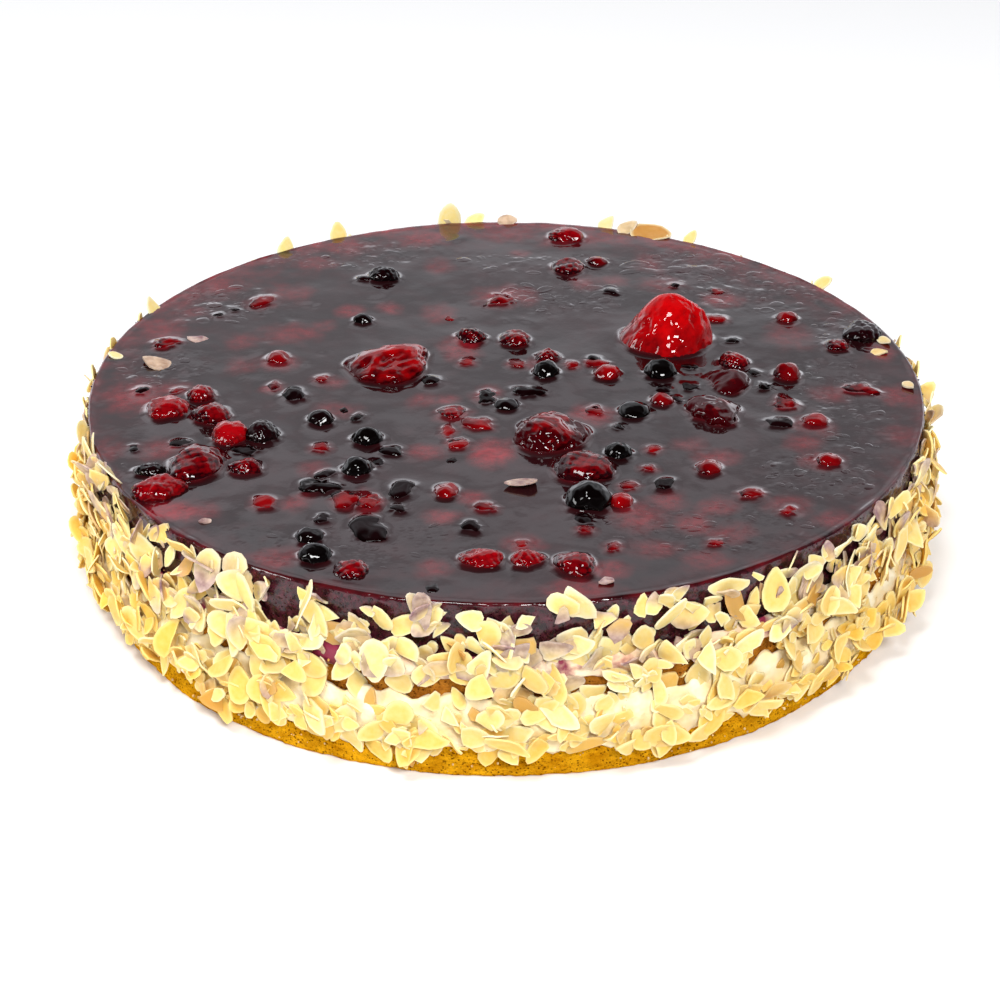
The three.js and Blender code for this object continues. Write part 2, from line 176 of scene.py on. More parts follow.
# Stretches of the surface with flat bubbles and ripples: x, y, radii along x and y, how many and how large.
RIPPLED = [
    (-64, 108, 34, 13, 50, 1), (-102, 62, 20, 16, 30, 1.2), (20, 68, 26, 14, 44, 1.5),
    (112, -16, 16, 34, 56, 1), (62, -97, 34, 14, 40, 1), (88, 78, 34, 22, 56, 1.2),
    (-122, -78, 12, 20, 24, 0.8), (97, -66, 18, 14, 40, 1), (-40, -106, 34, 14, 22, 0.8),
    (-118, 10, 14, 14, 24, 1), (120, 40, 10, 20, 26, 1), (10, 100, 30, 10, 20, 1.2),
    (66, 100, 22, 13, 34, 2.4),
]

# Openings in the coat of almonds where the middle sponge shows: angle round +Z, half width in degrees.
SPONGE_WINDOWS = [(-104, 7.5), (-93, 2), (-80, 2), (-70, 1.5), (-57, 2.5), (-33, 6), (65, 4), (150, 5)]


# Modelling


def fresh(name, add, **sizes):
    """A primitive added with nothing else selected."""
    bpy.ops.object.select_all(action="DESELECT")
    add(**sizes)
    piece = bpy.context.active_object
    piece.name = name
    piece.data.name = name
    return piece


def settled(piece):
    """Puts the piece's place into its mesh."""
    bpy.ops.object.select_all(action="DESELECT")
    piece.select_set(True)
    bpy.context.view_layer.objects.active = piece
    bpy.ops.object.transform_apply(location=True, rotation=True, scale=True)
    return piece


def points(piece):
    """The mesh's vertices in millimetres."""
    flat = np.empty(len(piece.data.vertices) * 3)
    piece.data.vertices.foreach_get("co", flat)
    return flat.reshape(-1, 3) / MM


def put(piece, places):
    piece.data.vertices.foreach_set("co", (places * MM).ravel())
    piece.data.update()


def mark(piece, name, values):
    """A number at each vertex, which a material reads."""
    layer = piece.data.attributes.new(name, "FLOAT", "POINT")
    layer.data.foreach_set("value", np.asarray(values, dtype=np.float32))


def grain(places, size, seed=0.0, octaves=3):
    """Smooth noise from about -1 to 1 at each place, with lumps about size across."""
    shift = Vector((seed, 0.7 * seed, -seed))
    return np.array([noise.fractal(Vector(p) / size + shift, 1.0, 2.0, octaves) for p in places])


def uneven(angle):
    """The tart is not quite round: its radius swells and shrinks by about half a millimetre."""
    return 1 + 0.0024 * np.sin(3 * angle + 1.1) + 0.0017 * np.sin(5 * angle + 0.4)


def smooth(piece, degrees=None):
    bpy.ops.object.select_all(action="DESELECT")
    piece.select_set(True)
    bpy.context.view_layer.objects.active = piece
    if degrees is None:
        bpy.ops.object.shade_smooth()
    else:
        bpy.ops.object.shade_smooth_by_angle(angle=math.radians(degrees))


def draw_up(profile, first):
    """In edit mode, draws the selected ring through a profile of [radius, height] pairs."""
    before = first
    for after in profile:
        move = {"value": (0, 0, (after[1] - before[1]) * MM)}
        bpy.ops.mesh.extrude_region_move(TRANSFORM_OT_translate=move)
        share = after[0] / before[0]
        bpy.ops.transform.resize(value=(share, share, 1), center_override=(0, 0, 0))
        before = after


def turned(name, profile):
    """A closed turned solid, drawn up ring by ring from its foot."""
    first = profile[0]
    piece = fresh(
        name,
        bpy.ops.mesh.primitive_circle_add,
        vertices=AROUND,
        radius=first[0] * MM,
        fill_type="NGON",
        location=(0, 0, first[1] * MM),
    )
    settled(piece)
    bpy.ops.object.mode_set(mode="EDIT")
    bpy.ops.mesh.select_all(action="SELECT")
    draw_up(profile[1:], first)
    bpy.ops.mesh.select_all(action="SELECT")
    bpy.ops.mesh.normals_make_consistent(inside=False)
    bpy.ops.object.mode_set(mode="OBJECT")
    return piece


def spaced(low, high, count):
    return [low + (high - low) * i / (count - 1) for i in range(count)]


def moved_out(places, amount):
    """Places moved away from the axis by an amount each, with the tart's own unevenness."""
    angle = np.arctan2(places[:, 1], places[:, 0])
    radius = np.hypot(places[:, 0], places[:, 1])
    grown = radius * uneven(angle) + amount
    moved = places.copy()
    moved[:, 0] = grown * np.cos(angle)
    moved[:, 1] = grown * np.sin(angle)
    return moved


# Materials


def plain_material(name, roughness, **sockets):
    """A material with its fixed values on the shader's own sockets."""
    material = bpy.data.materials.new(name)
    material.use_nodes = True
    shader = material.node_tree.nodes["Principled BSDF"]
    shader.inputs["Roughness"].default_value = roughness
    for socket, value in sockets.items():
        shader.inputs[socket.replace("_", " ")].default_value = value
    return material, shader


def node(material, kind, **settings):
    made = material.node_tree.nodes.new(kind)
    for key, value in settings.items():
        setattr(made, key, value)
    return made


def wire(material, source, target):
    material.node_tree.links.new(source, target)


def place_of(material):
    return node(material, "ShaderNodeTexCoord").outputs["Object"]


def attribute_of(material, name):
    return node(material, "ShaderNodeAttribute", attribute_name=name).outputs["Fac"]


def speckle(material, size, detail=3.0, roughness=0.55, stretch=None):
    """Soft noise from 0 to 1 with lumps about size across, in millimetres."""
    texture = node(material, "ShaderNodeTexNoise")
    texture.inputs["Scale"].default_value = 1 / (size * MM)
    texture.inputs["Detail"].default_value = detail
    texture.inputs["Roughness"].default_value = roughness
    source = place_of(material)
    if stretch:
        mapping = node(material, "ShaderNodeMapping")
        mapping.inputs["Scale"].default_value = stretch
        wire(material, source, mapping.inputs["Vector"])
        source = mapping.outputs["Vector"]
    wire(material, source, texture.inputs["Vector"])
    return texture.outputs["Fac"]


def cells(material, size):
    """Distance to the nearest of scattered points about size apart, in millimetres."""
    texture = node(material, "ShaderNodeTexVoronoi", feature="F1")
    texture.inputs["Scale"].default_value = 1 / (size * MM)
    wire(material, place_of(material), texture.inputs["Vector"])
    return texture.outputs["Distance"]


def fitted(material, value, low, high, start=0.0, end=1.0):
    """A value stretched from low..high to start..end."""
    stretch = node(material, "ShaderNodeMapRange")
    wire(material, value, stretch.inputs["Value"])
    for socket, number in zip(("From Min", "From Max", "To Min", "To Max"), (low, high, start, end)):
        stretch.inputs[socket].default_value = number
    return stretch.outputs["Result"]


def mottled(material, size, detail, low, high, start=0.0, end=1.0, roughness=0.55, stretch=None):
    """Soft noise with lumps about size across, stretched from low..high to start..end."""
    return fitted(material, speckle(material, size, detail, roughness, stretch), low, high, start, end)


def counted(material, operation, first, second):
    """A sum, product or the like of two values, either of which may be a number."""
    sum_node = node(material, "ShaderNodeMath", operation=operation)
    for socket, value in zip(sum_node.inputs, (first, second)):
        if isinstance(value, (int, float)):
            socket.default_value = value
        else:
            wire(material, value, socket)
    return sum_node.outputs["Value"]


def blended(material, share, first, second):
    """Two colours blended by a share. A colour is a triple or another node's output."""
    mixed = node(material, "ShaderNodeMix", data_type="RGBA")
    wire(material, share, mixed.inputs["Factor"])
    for socket, colour in ((mixed.inputs[6], first), (mixed.inputs[7], second)):
        if isinstance(colour, tuple):
            socket.default_value = (*colour, 1)
        else:
            wire(material, colour, socket)
    return mixed.outputs[2]


def relief(material, shader, height, depth, strength):
    """Fine relief of the given depth in millimetres."""
    bump = node(material, "ShaderNodeBump")
    bump.inputs["Distance"].default_value = depth * MM
    bump.inputs["Strength"].default_value = strength
    wire(material, height, bump.inputs["Height"])
    wire(material, bump.outputs["Normal"], shader.inputs["Normal"])


def sponge_material(name, light, dark, pore_shade):
    """Baked crumb: a mottled ground with fine pores, darkened with painted shade."""
    material, shader = plain_material(name, 0.9, Specular_IOR_Level=0.0)
    mottle = mottled(material, 6, 5, 0.36, 0.6, roughness=0.6, stretch=(1, 1, 2))
    ground = blended(material, mottle, dark, light)
    fine = mottled(material, 0.7, 3, 0.5, 0.68, roughness=0.75)
    pores = fitted(material, cells(material, 1.0), 0.16, 0.34, 1, 0)
    holes = counted(material, "MULTIPLY", pores, mottled(material, 3, 3, 0.36, 0.5))
    # Painted shade: the pores, with the fine grain, are blended towards the dark pore colour.
    shade = counted(material, "MAXIMUM", counted(material, "MULTIPLY", fine, 0.55), holes)
    wire(material, blended(material, shade, ground, pore_shade), shader.inputs["Base Color"])
    crumb = counted(material, "SUBTRACT", speckle(material, 0.7, 4, 0.7), holes)
    relief(material, shader, crumb, 0.6, 1.0)
    return material


def cream_material(name, light, warm, stain):
    """Soft cream with a faint yellow mottle and the jelly's colour where the mark says so."""
    material, shader = plain_material(
        name, 0.42, Specular_IOR_Level=0.4, Subsurface_Weight=0.15, Subsurface_Scale=0.002
    )
    shader.inputs["Subsurface Radius"].default_value = (1.0, 0.85, 0.55)
    ground = blended(material, mottled(material, 7, 3, 0.35, 0.65), light, warm)
    fray = mottled(material, 2.5, 3, 0, 1, -0.25, 0.25)
    edge = counted(material, "ADD", attribute_of(material, "stained"), fray)
    share = fitted(material, edge, 0.4, 0.74)
    wire(material, blended(material, share, ground, stain), shader.inputs["Base Color"])
    relief(material, shader, speckle(material, 1.6, 3), 0.35, 0.6)
    return material


def jelly_material():
    """Near-black red jelly: glossy on top with soft red where fruit lies under it and painted light glowing
    red near the rim, duller at the side.
    """
    material, shader = plain_material("dark_berry_jelly", 0.1, IOR=1.5, Specular_IOR_Level=0.5)
    side = attribute_of(material, "side")
    colour = blended(material, side, jelly_top_colour(material), jelly_wall_colour(material))
    wire(material, colour, shader.inputs["Base Color"])
    wire(material, fitted(material, side, 0, 1, 0.07, 0.26), shader.inputs["Roughness"])
    relief(material, shader, jelly_relief(material, side), 0.5, 0.5)
    return material


def jelly_top_colour(material):
    """Almost black, drifting a little, with red where the glow mark says so."""
    patchy = mottled(material, 3.4, 5, 0.34, 0.62, 0.5, 1.2, roughness=0.65)
    glow = counted(material, "MULTIPLY", attribute_of(material, "glow"), patchy)
    drift = mottled(material, 38, 2, 0.35, 0.65)
    haze = blended(material, drift, (0.009, 0.0015, 0.002), (0.016, 0.003, 0.004))
    return blended(material, fitted(material, glow, 0, 1), haze, (0.30, 0.010, 0.018))


def jelly_wall_colour(material):
    """The cut side: grainy dark purple."""
    grainy = mottled(material, 1.8, 5, 0.38, 0.68, roughness=0.65)
    return blended(material, grainy, (0.010, 0.001, 0.003), (0.085, 0.013, 0.024))


def jelly_relief(material, side):
    """Small beads on the side, drops on the rippled stretches of the top, and a slight swell all over."""
    beads = counted(material, "MULTIPLY", fitted(material, cells(material, 1.3), 0.1, 0.3, 0.6, 0), side)
    drops = fitted(material, cells(material, 3.2), 0.0, 0.42, 1, 0)
    drops = counted(material, "MULTIPLY", drops, attribute_of(material, "ripple"))
    swell = counted(material, "MULTIPLY", speckle(material, 4, 2), 0.25)
    low = counted(material, "ADD", beads, swell)
    return counted(material, "ADD", low, counted(material, "MULTIPLY", drops, 0.35))


def fruit_material(name, bright, deep, roughness, film=1.0):
    """Wet fruit under a glossy film of jelly: bright or deep by its colour mark, which holds its own depth
    of colour and painted shade in grooves and folds, at its foot and on its unlit left.
    """
    material, shader = plain_material(
        name, 0.5, Specular_IOR_Level=0.0, Coat_Weight=film, Coat_Roughness=roughness, Coat_IOR=1.37
    )
    tone = mottled(material, 4.5, 4, 0.34, 0.66, -0.2, 0.2)
    shade = fitted(material, counted(material, "ADD", attribute_of(material, "painted_shade_and_tone"), tone), 0, 1)
    wire(material, blended(material, shade, bright, deep), shader.inputs["Base Color"])
    relief(material, shader, speckle(material, 1.6, 2), 0.16, 0.6)
    return material


def almond_material():
    """Blanched almond: pale edge, yellower middle, some flakes toasted and some stained by the jelly."""
    material, shader = plain_material(
        "flaked_almond", 0.5, Specular_IOR_Level=0.35, Subsurface_Weight=0.25, Subsurface_Scale=0.0015
    )
    shader.inputs["Subsurface Radius"].default_value = (1.0, 0.8, 0.5)
    cloudy = mottled(material, 2.2, 3, 0.2, 0.8, 0.5, 1.1)
    middle = counted(material, "MULTIPLY", attribute_of(material, "middle"), cloudy)
    # The tone mark deepens the colour; on the coat's left and right flanks it carries painted shade.
    tone = attribute_of(material, "tone")
    pale = blended(material, tone, (0.85, 0.79, 0.54), (0.84, 0.62, 0.19))
    heart = blended(material, tone, (0.86, 0.69, 0.24), (0.79, 0.44, 0.04))
    flesh = blended(material, fitted(material, middle, 0, 1), pale, heart)
    toasted = blended(material, attribute_of(material, "toast"), flesh, (0.50, 0.23, 0.03))
    mauve = blended(material, mottled(material, 3, 2, 0.35, 0.65), (0.19, 0.09, 0.12), (0.50, 0.36, 0.32))
    colour = blended(material, attribute_of(material, "stained"), toasted, mauve)
    wire(material, colour, shader.inputs["Base Color"])
    relief(material, shader, speckle(material, 0.9, 3, 0.6, (1, 1, 0.3)), 0.12, 0.5)
    return material


def crumb_material():
    material, shader = plain_material("pale_crumb", 0.7, Specular_IOR_Level=0.3)
    tone = mottled(material, 2, 2, 0.35, 0.65)
    colour = blended(material, tone, (0.86, 0.70, 0.38), (0.55, 0.30, 0.07))
    wire(material, colour, shader.inputs["Base Color"])
    return material


def floor_material():
    material, shader = plain_material("pale_floor", 0.9, Specular_IOR_Level=0.0)
    shader.inputs["Base Color"].default_value = (0.93, 0.93, 0.93, 1)
    return material


# Layers


def sponge(name, node_name, profile, depth, material, seed):
    """A baked layer, its side rough with crumb."""
    piece = turned(name, profile)
    places = points(piece)
    radius = np.hypot(places[:, 0], places[:, 1])
    angle = np.arctan2(places[:, 1], places[:, 0])
    side = radius > TART_RADIUS - 3
    free = side & (places[:, 2] > profile[0][1] + 0.2) & (places[:, 2] < profile[-1][1] - 0.2)
    rough = grain(places, 2.4, seed, 4) * depth + grain(places, 14, seed + 5, 2) * depth
    unrolled = np.stack([angle * 9, places[:, 2] * 1.6, 0 * angle], 1)
    groove = np.where(grain(unrolled, 1, seed) > 0.25, -0.5, 0)
    put(piece, moved_out(places, np.where(free, rough + groove * depth, 0)))
    smooth(piece)
    piece.data.materials.append(material)
    return dressed(piece, "sponge" if node_name == "sponge_base" else node_name, node_name)


def sponge_base():
    edge = TART_RADIUS - 0.7
    profile = [(edge - 1.2, 0), (edge - 0.2, 0.5)]
    profile += [(edge + 0.5 * math.sin(math.pi * t), SPONGE_TOP * t) for t in spaced(0.1, 0.97, 20)]
    profile.append((edge - 0.6, SPONGE_TOP))
    golden, baked, pore_shade = (0.76, 0.37, 0.008), (0.50, 0.20, 0.002), (0.20, 0.055, 0.002)
    material = sponge_material("golden_sponge", golden, baked, pore_shade)
    return sponge("sponge_base_crumb", "sponge_base", profile, 0.45, material, 3.0)


def sponge_middle():
    edge = TART_RADIUS - 0.8
    rise = MIDDLE_TOP - MIDDLE_FOOT
    profile = [(edge - 0.4, MIDDLE_FOOT)]
    profile += [(edge + 0.5 * math.sin(math.pi * t), MIDDLE_FOOT + rise * t) for t in spaced(0.06, 0.94, 14)]
    profile.append((edge - 0.4, MIDDLE_TOP))
    material = sponge_material("brown_sponge", (0.56, 0.22, 0.025), (0.38, 0.13, 0.014), (0.15, 0.04, 0.006))
    return sponge("sponge_middle_crumb", "sponge_middle", profile, 0.6, material, 11.0)


def cream(name, node_name, foot, top, lap, proud, lump, material, seed):
    """A layer of cream that laps over its neighbours' edges in soft lumps."""
    outer = TART_RADIUS + proud
    middle = (foot + top) / 2
    half = (top - foot) / 2 + lap
    profile = [(LAP - 0.4, foot), (LAP - 0.1, foot), (LAP, foot - lap)]
    for t in spaced(-0.94, 0.94, 16):
        profile.append((LAP + (outer - LAP) * math.cos(t * math.pi / 2) ** 0.6, middle + half * t))
    profile += [(LAP, top + lap), (LAP - 0.1, top), (LAP - 0.4, top)]
    piece = turned(name, profile)
    places = points(piece)
    radius = np.hypot(places[:, 0], places[:, 1])
    angle = np.arctan2(places[:, 1], places[:, 0])
    share = np.clip((radius - LAP) / (outer - LAP), 0, 1)
    lumps = grain(places, 9, seed, 3) * lump + np.abs(grain(places, 4, seed + 3, 3)) * lump * 1.1
    ring = np.stack([np.cos(angle), np.sin(angle), 0 * angle], 1)
    sway = grain(ring, 0.05, seed + 7, 3) * lap * 0.9
    places[:, 2] += sway * np.where((radius > LAP - 0.05) & (share < 0.6), 1 - share / 0.6, 0)
    moved = moved_out(places, np.maximum(share * lumps, -share * (proud - 0.3)))
    put(piece, moved)
    mark(piece, "stained", stain_of_cream(moved, seed))
    smooth(piece)
    piece.data.materials.append(material)
    return dressed(piece, "cream" if node_name == "cream_lower" else node_name, node_name)


def stain_of_cream(places, seed):
    """How much of the jelly's colour a place on the cream has taken: more near the jelly, in streaks."""
    near = np.clip((places[:, 2] - (MIDDLE_TOP - 6)) / 9, 0, 1)
    streak = grain(places * np.array([1, 1, 0.35]), 11, seed + 20, 3)
    return np.clip(near * (0.55 + streak * 0.9) + np.clip(streak - 0.45, 0, 1) * 0.8, 0, 1)


def cream_lower():
    material = cream_material("white_cream", (0.94, 0.85, 0.63), (0.91, 0.72, 0.36), (0.88, 0.52, 0.40))
    return cream("cream_lower_spread", "cream_lower", SPONGE_TOP, MIDDLE_FOOT, 3.4, 2.6, 1.2, material, 2.0)


def cream_upper():
    white, pink, purple = (0.93, 0.82, 0.60), (0.92, 0.62, 0.42), (0.24, 0.02, 0.055)
    material = cream_material("pink_stained_cream", white, pink, purple)
    return cream("cream_upper_spread", "cream_upper", MIDDLE_TOP, JELLY_FOOT, 1.6, 1.5, 0.8, material, 8.0)


# Jelly


def girdle(node_name):
    """Centre and radii, at the jelly's level, of the fruit that a node holds."""
    low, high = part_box(node_name)
    centre = (low + high) / 2 / MM
    half = (high - low) / 2 / MM
    sunk = min(0.92, abs(JELLY_TOP - centre.z) / half.z)
    share = math.sqrt(1 - sunk * sunk)
    return centre.x, centre.y, half.x * share, half.y * share, (high.z / MM - JELLY_TOP)


def standing_nodes():
    for kind, rows in STANDING.items():
        for index, row in enumerate(rows):
            yield kind, f"{kind}_{index + 1}", row


def clinging():
    """Every fruit that breaks the surface: x, y, radii and how high the jelly climbs it."""
    rows = []
    for _, name, _ in standing_nodes():
        x, y, along, across, rise = girdle(name)
        rows.append((x, y, along, across, min(1.1, 0.4 + 0.12 * rise)))
    for x, y, width, rise in SUNK_RED + SUNK_BLACK:
        rows.append((x, y, width * 0.42, width * 0.42, 0.2 + 0.3 * rise))
    return rows


def bubbles():
    """Flat bubbles and dents scattered over the rippled stretches, each with its own size and turn."""
    draw = random.Random(77)
    rows = []
    for x, y, across, along, count, _ in RIPPLED:
        for _ in range(count):
            turn, far = draw.uniform(0, math.tau), math.sqrt(draw.random())
            size = draw.uniform(0.9, 2.6)
            rows.append((
                x + across * far * math.cos(turn),
                y + along * far * math.sin(turn),
                size,
                size * draw.uniform(0.45, 0.9),
                draw.uniform(0, math.pi),
                draw.choice((-1, -1, 1)) * draw.uniform(0.06, 0.2) * size / 2,
            ))
    for _ in range(120):
        turn, far = draw.uniform(0, math.tau), math.sqrt(draw.random()) * (TART_RADIUS - 8)
        size = draw.uniform(1.2, 5)
        rows.append((
            far * math.cos(turn), far * math.sin(turn), size, size * draw.uniform(0.4, 1),
            draw.uniform(0, math.pi), draw.choice((-1, 1)) * draw.uniform(0.05, 0.22),
        ))
    return rows


CLINGING = clinging()
BUBBLES = bubbles()


def jelly_rise(places):
    """How far the jelly's surface stands above its level, without the collars at the fruit."""
    x, y = places[:, 0], places[:, 1]
    cling = np.zeros(len(x))
    for cx, cy, along, across, climb in CLINGING:
        ratio = np.hypot((x - cx) / along, (y - cy) / across)
        away = np.maximum(ratio - 0.9, 0) * min(along, across)
        cling += (0.45 * climb * np.exp(-((away / 4.5) ** 1.3))) ** 3
    rise = np.cbrt(cling)
    for cx, cy, along, across, turn, height in BUBBLES:
        near = np.hypot(x - cx, y - cy) < 3.2 * along
        u = (x[near] - cx) * math.cos(turn) + (y[near] - cy) * math.sin(turn)
        v = (y[near] - cy) * math.cos(turn) - (x[near] - cx) * math.sin(turn)
        rise[near] += height * np.exp(-((u / along) ** 2 + (v / across) ** 2) ** 1.5)
    level = places * np.array([1, 1, 0])
    rise += grain(level, 34, 4.0, 2) * 0.5 + grain(level, 11, 9.0, 2) * 0.1
    return rise


COLLAR_STEPS = 44


def waterline(places, red, climb, reach):
    """Where a fruit leaves the jelly: its middle, its radius each way, and the jelly's climb."""
    middle = (places.max(0) + places.min(0)) / 2
    level = JELLY_TOP + climb + jelly_rise(middle[None, :])[0]
    if level > places[:, 2].max() - 0.25:
        return None
    cut = places[np.abs(places[:, 2] - level) < 0.4] - middle
    if len(cut) < COLLAR_STEPS:
        return None
    sector = (np.arctan2(cut[:, 1], cut[:, 0]) / math.tau * COLLAR_STEPS).astype(int) % COLLAR_STEPS
    radii = np.zeros(COLLAR_STEPS)
    np.maximum.at(radii, sector, np.hypot(cut[:, 0], cut[:, 1]))
    known = np.flatnonzero(radii)
    radii = np.interp(np.arange(COLLAR_STEPS), known, radii[known], period=COLLAR_STEPS)
    radii = (np.roll(radii, 1) + 2 * radii + np.roll(radii, -1)) / 4
    return middle[0], middle[1], radii - 0.05, red, climb, reach


def ring_faces(rings, steps, outward):
    """Four-sided faces between rings of points that run outward or inward, all facing up."""
    faces = []
    for ring in range(rings - 1):
        for step in range(steps):
            a, b = ring * steps + step, ring * steps + (step + 1) % steps
            faces.append((a, a + steps, b + steps, b) if outward else (a, b, b + steps, a + steps))
    return faces


def on_jelly(name, meshes, glows, sides, material):
    """Small forms on the jelly, joined in one piece with the marks that the jelly's material reads."""
    still = [0 * values for values in sides]
    joined(name, meshes, {"glow": glows, "side": sides, "ripple": still}, material, "jelly")


def collars(material, waterlines):
    """The jelly's skin where it climbs each fruit, as a curved collar that follows its outline."""
    around = (np.arange(COLLAR_STEPS) + 0.5) * math.tau / COLLAR_STEPS
    circle = np.stack([np.cos(around), np.sin(around), 0 * around], 1)
    ring_of = [(-0.6, 1.0)] + [(d, math.exp(-d)) for d in (0, 0.22, 0.5, 0.9, 1.5, 2.3, 3.7)]
    meshes, glows, sides = [], [], []
    for cx, cy, radii, red, climb, reach in waterlines:
        rings, shine = [], []
        for away, share in ring_of:
            ring = circle * (radii + away * reach)[:, None] + np.array([cx, cy, 0])
            ring[:, 2] = climb * share - 0.07 * max(away, 0) / 3.7
            rings.append(ring)
            shine.append(np.full(COLLAR_STEPS, red * math.exp(-max(away, 0) / 0.8)))
        places = np.concatenate(rings)
        if np.hypot(places[:, 0], places[:, 1]).max() > TART_RADIUS - 2.5:
            continue
        glows.append(np.maximum(jelly_glow(places), np.concatenate(shine)))
        sides.append(0 * glows[-1])
        places[:, 2] += JELLY_TOP + jelly_rise(places)
        meshes.append((places, ring_faces(len(ring_of), COLLAR_STEPS, True)))
    on_jelly("jelly_collars", meshes, glows, sides, material)


BUBBLE_STEPS = 14


# Rings of a bubble's cap from its foot: share of its length and share of its height
DOME = [(1.12, -0.5), (1.0, 0.1), (0.82, 0.62), (0.5, 0.92), (0.2, 1.0)]
POPPED = [(1.2, -0.5), (1.04, 0.5), (0.9, 0.95), (0.72, 0.5), (0.3, 0.16)]


def bubble_cap(x, y, length, breadth, height, turn, profile):
    """The points of one cap, ring by ring, above the jelly's level."""
    around = np.arange(BUBBLE_STEPS) * math.tau / BUBBLE_STEPS
    rings = []
    for out, up in profile:
        u = out * length * np.cos(around) * (1 - 0.25 * np.sin(around + turn))
        v = out * breadth * np.sin(around)
        across = x + u * math.cos(turn) - v * math.sin(turn)
        along = y + u * math.sin(turn) + v * math.cos(turn)
        rings.append(np.column_stack([across, along, np.full(BUBBLE_STEPS, up * height)]))
    return np.concatenate(rings)


def surface_bubbles(material):
    """Flat bubbles, popped bubbles and short wrinkles on the jelly, each a low cap with a crisp edge."""
    draw = random.Random(91)
    meshes, glows, sides = [], [], []
    last = (len(DOME) - 1) * BUBBLE_STEPS
    faces = [tuple(range(last, last + BUBBLE_STEPS))] + ring_faces(len(DOME), BUBBLE_STEPS, False)
    for x, y, across, along, count, scale in RIPPLED:
        for _ in range(int(count * 1.1)):
            angle, far = draw.uniform(0, math.tau), math.sqrt(draw.random())
            cx, cy = x + across * far * math.cos(angle), y + along * far * math.sin(angle)
            if math.hypot(cx, cy) > TART_RADIUS - 6:
                continue
            length = draw.choice((0.6, 0.8, 1.1, 1.4, 1.9, 2.4)) * scale
            breadth = length * draw.choice((0.4, 0.6, 0.85))
            height = breadth * draw.uniform(0.035, 0.075)
            turn = draw.gauss(0, 0.6)
            profile = draw.choice((DOME, DOME, DOME, DOME, POPPED))
            places = bubble_cap(cx, cy, length, breadth, height, turn, profile)
            glows.append(jelly_glow(places))
            sides.append(0 * glows[-1])
            places[:, 2] += JELLY_TOP + jelly_rise(places)
            meshes.append((places, faces))
    on_jelly("jelly_bubbles", meshes, glows, sides, material)


def taken_apart(piece):
    """The points and faces of a piece, which is then removed."""
    places = points(piece)
    faces = [tuple(face.vertices) for face in piece.data.polygons]
    bpy.data.objects.remove(piece)
    return places, faces


def small_round(radius):
    """A small rough ball's points and faces, to be copied many times."""
    add = bpy.ops.mesh.primitive_ico_sphere_add
    return taken_apart(fresh("small_round", add, subdivisions=1, radius=radius * MM))


def side_bubbles(material):
    """Tiny bubbles caught in the jelly's cut side and along its rim."""
    draw = random.Random(19)
    shape, faces = small_round(1)
    meshes, zeros, sides = [], [], []
    for _ in range(900):
        angle = draw.uniform(-math.pi, math.pi)
        height = JELLY_TOP - 0.3 - 17 * draw.random() ** 1.6
        size = draw.choice((0.16, 0.2, 0.26, 0.34, 0.45))
        radius = (TART_RADIUS - 0.1 - 0.3 * (JELLY_TOP - height) / JELLY_DEPTH) * float(uneven(angle))
        centre = np.array([math.cos(angle) * radius, math.sin(angle) * radius, height])
        meshes.append((shape * size * np.array([1, 1, draw.uniform(0.7, 1)]) + centre, faces))
        zeros.append(np.zeros(len(shape)))
        sides.append(np.full(len(shape), 0.4))
    on_jelly("side_bubbles", meshes, zeros, sides, material)


def jelly_glow(places):
    """How red the jelly shines at each place, from 0 to 1: where fruit lies under it, and near the rim as
    painted light glowing through the jelly, most at the back.
    """
    x, y = places[:, 0], places[:, 1]
    glow = np.zeros(len(x))
    warp = grain(places * np.array([1, 1, 0]), 7, 30.0, 2) * 0.28
    for cx, cy, along, across, strength in SUBMERGED:
        ratio = np.hypot((x - cx) / along, (y - cy) / across)
        glow = np.maximum(glow, 0.75 * strength * np.clip(1.45 - ratio + warp, 0, 1) ** 1.4)
    radius = np.hypot(x, y)
    # Painted light: the jelly glows red near its rim, most at the back, where the bright wall stands behind
    # it.
    back = 0.1 + 0.9 * np.clip(np.cos(np.arctan2(y, x) - math.radians(100)) * 1.6, 0, 1)
    edge = TART_RADIUS - radius
    rim = np.exp(-edge / 2) * (0.12 + warp * 0.7) + np.exp(-edge / 9) * (0.38 + 1.5 * warp) * back
    return np.clip(np.maximum(glow, rim) + warp * 0.1, 0, 1)


def rippled(places):
    """Where the surface is full of fine flat bubbles, from 0 to 1."""
    share = np.zeros(len(places))
    for x, y, across, along, _, _ in RIPPLED:
        ratio = np.hypot((places[:, 0] - x) / across, (places[:, 1] - y) / along)
        share = np.maximum(share, np.clip(1.4 - ratio, 0, 1))
    return np.clip(share + grain(places, 9, 55.0, 2) * 0.7, 0, 1) * (share > 0)


def jelly_disc(radius):
    """A fine grid drawn out to a disc at the jelly's level."""
    piece = fresh(
        "jelly_body",
        bpy.ops.mesh.primitive_grid_add,
        x_subdivisions=345,
        y_subdivisions=212,
        size=2 * MM,
    )
    square = points(piece)
    disc = square.copy()
    disc[:, 0] = square[:, 0] * np.sqrt(1 - square[:, 1] ** 2 / 2) * radius
    disc[:, 1] = square[:, 1] * np.sqrt(1 - square[:, 0] ** 2 / 2) * radius
    disc[:, 2] = JELLY_TOP
    put(piece, disc)
    return piece


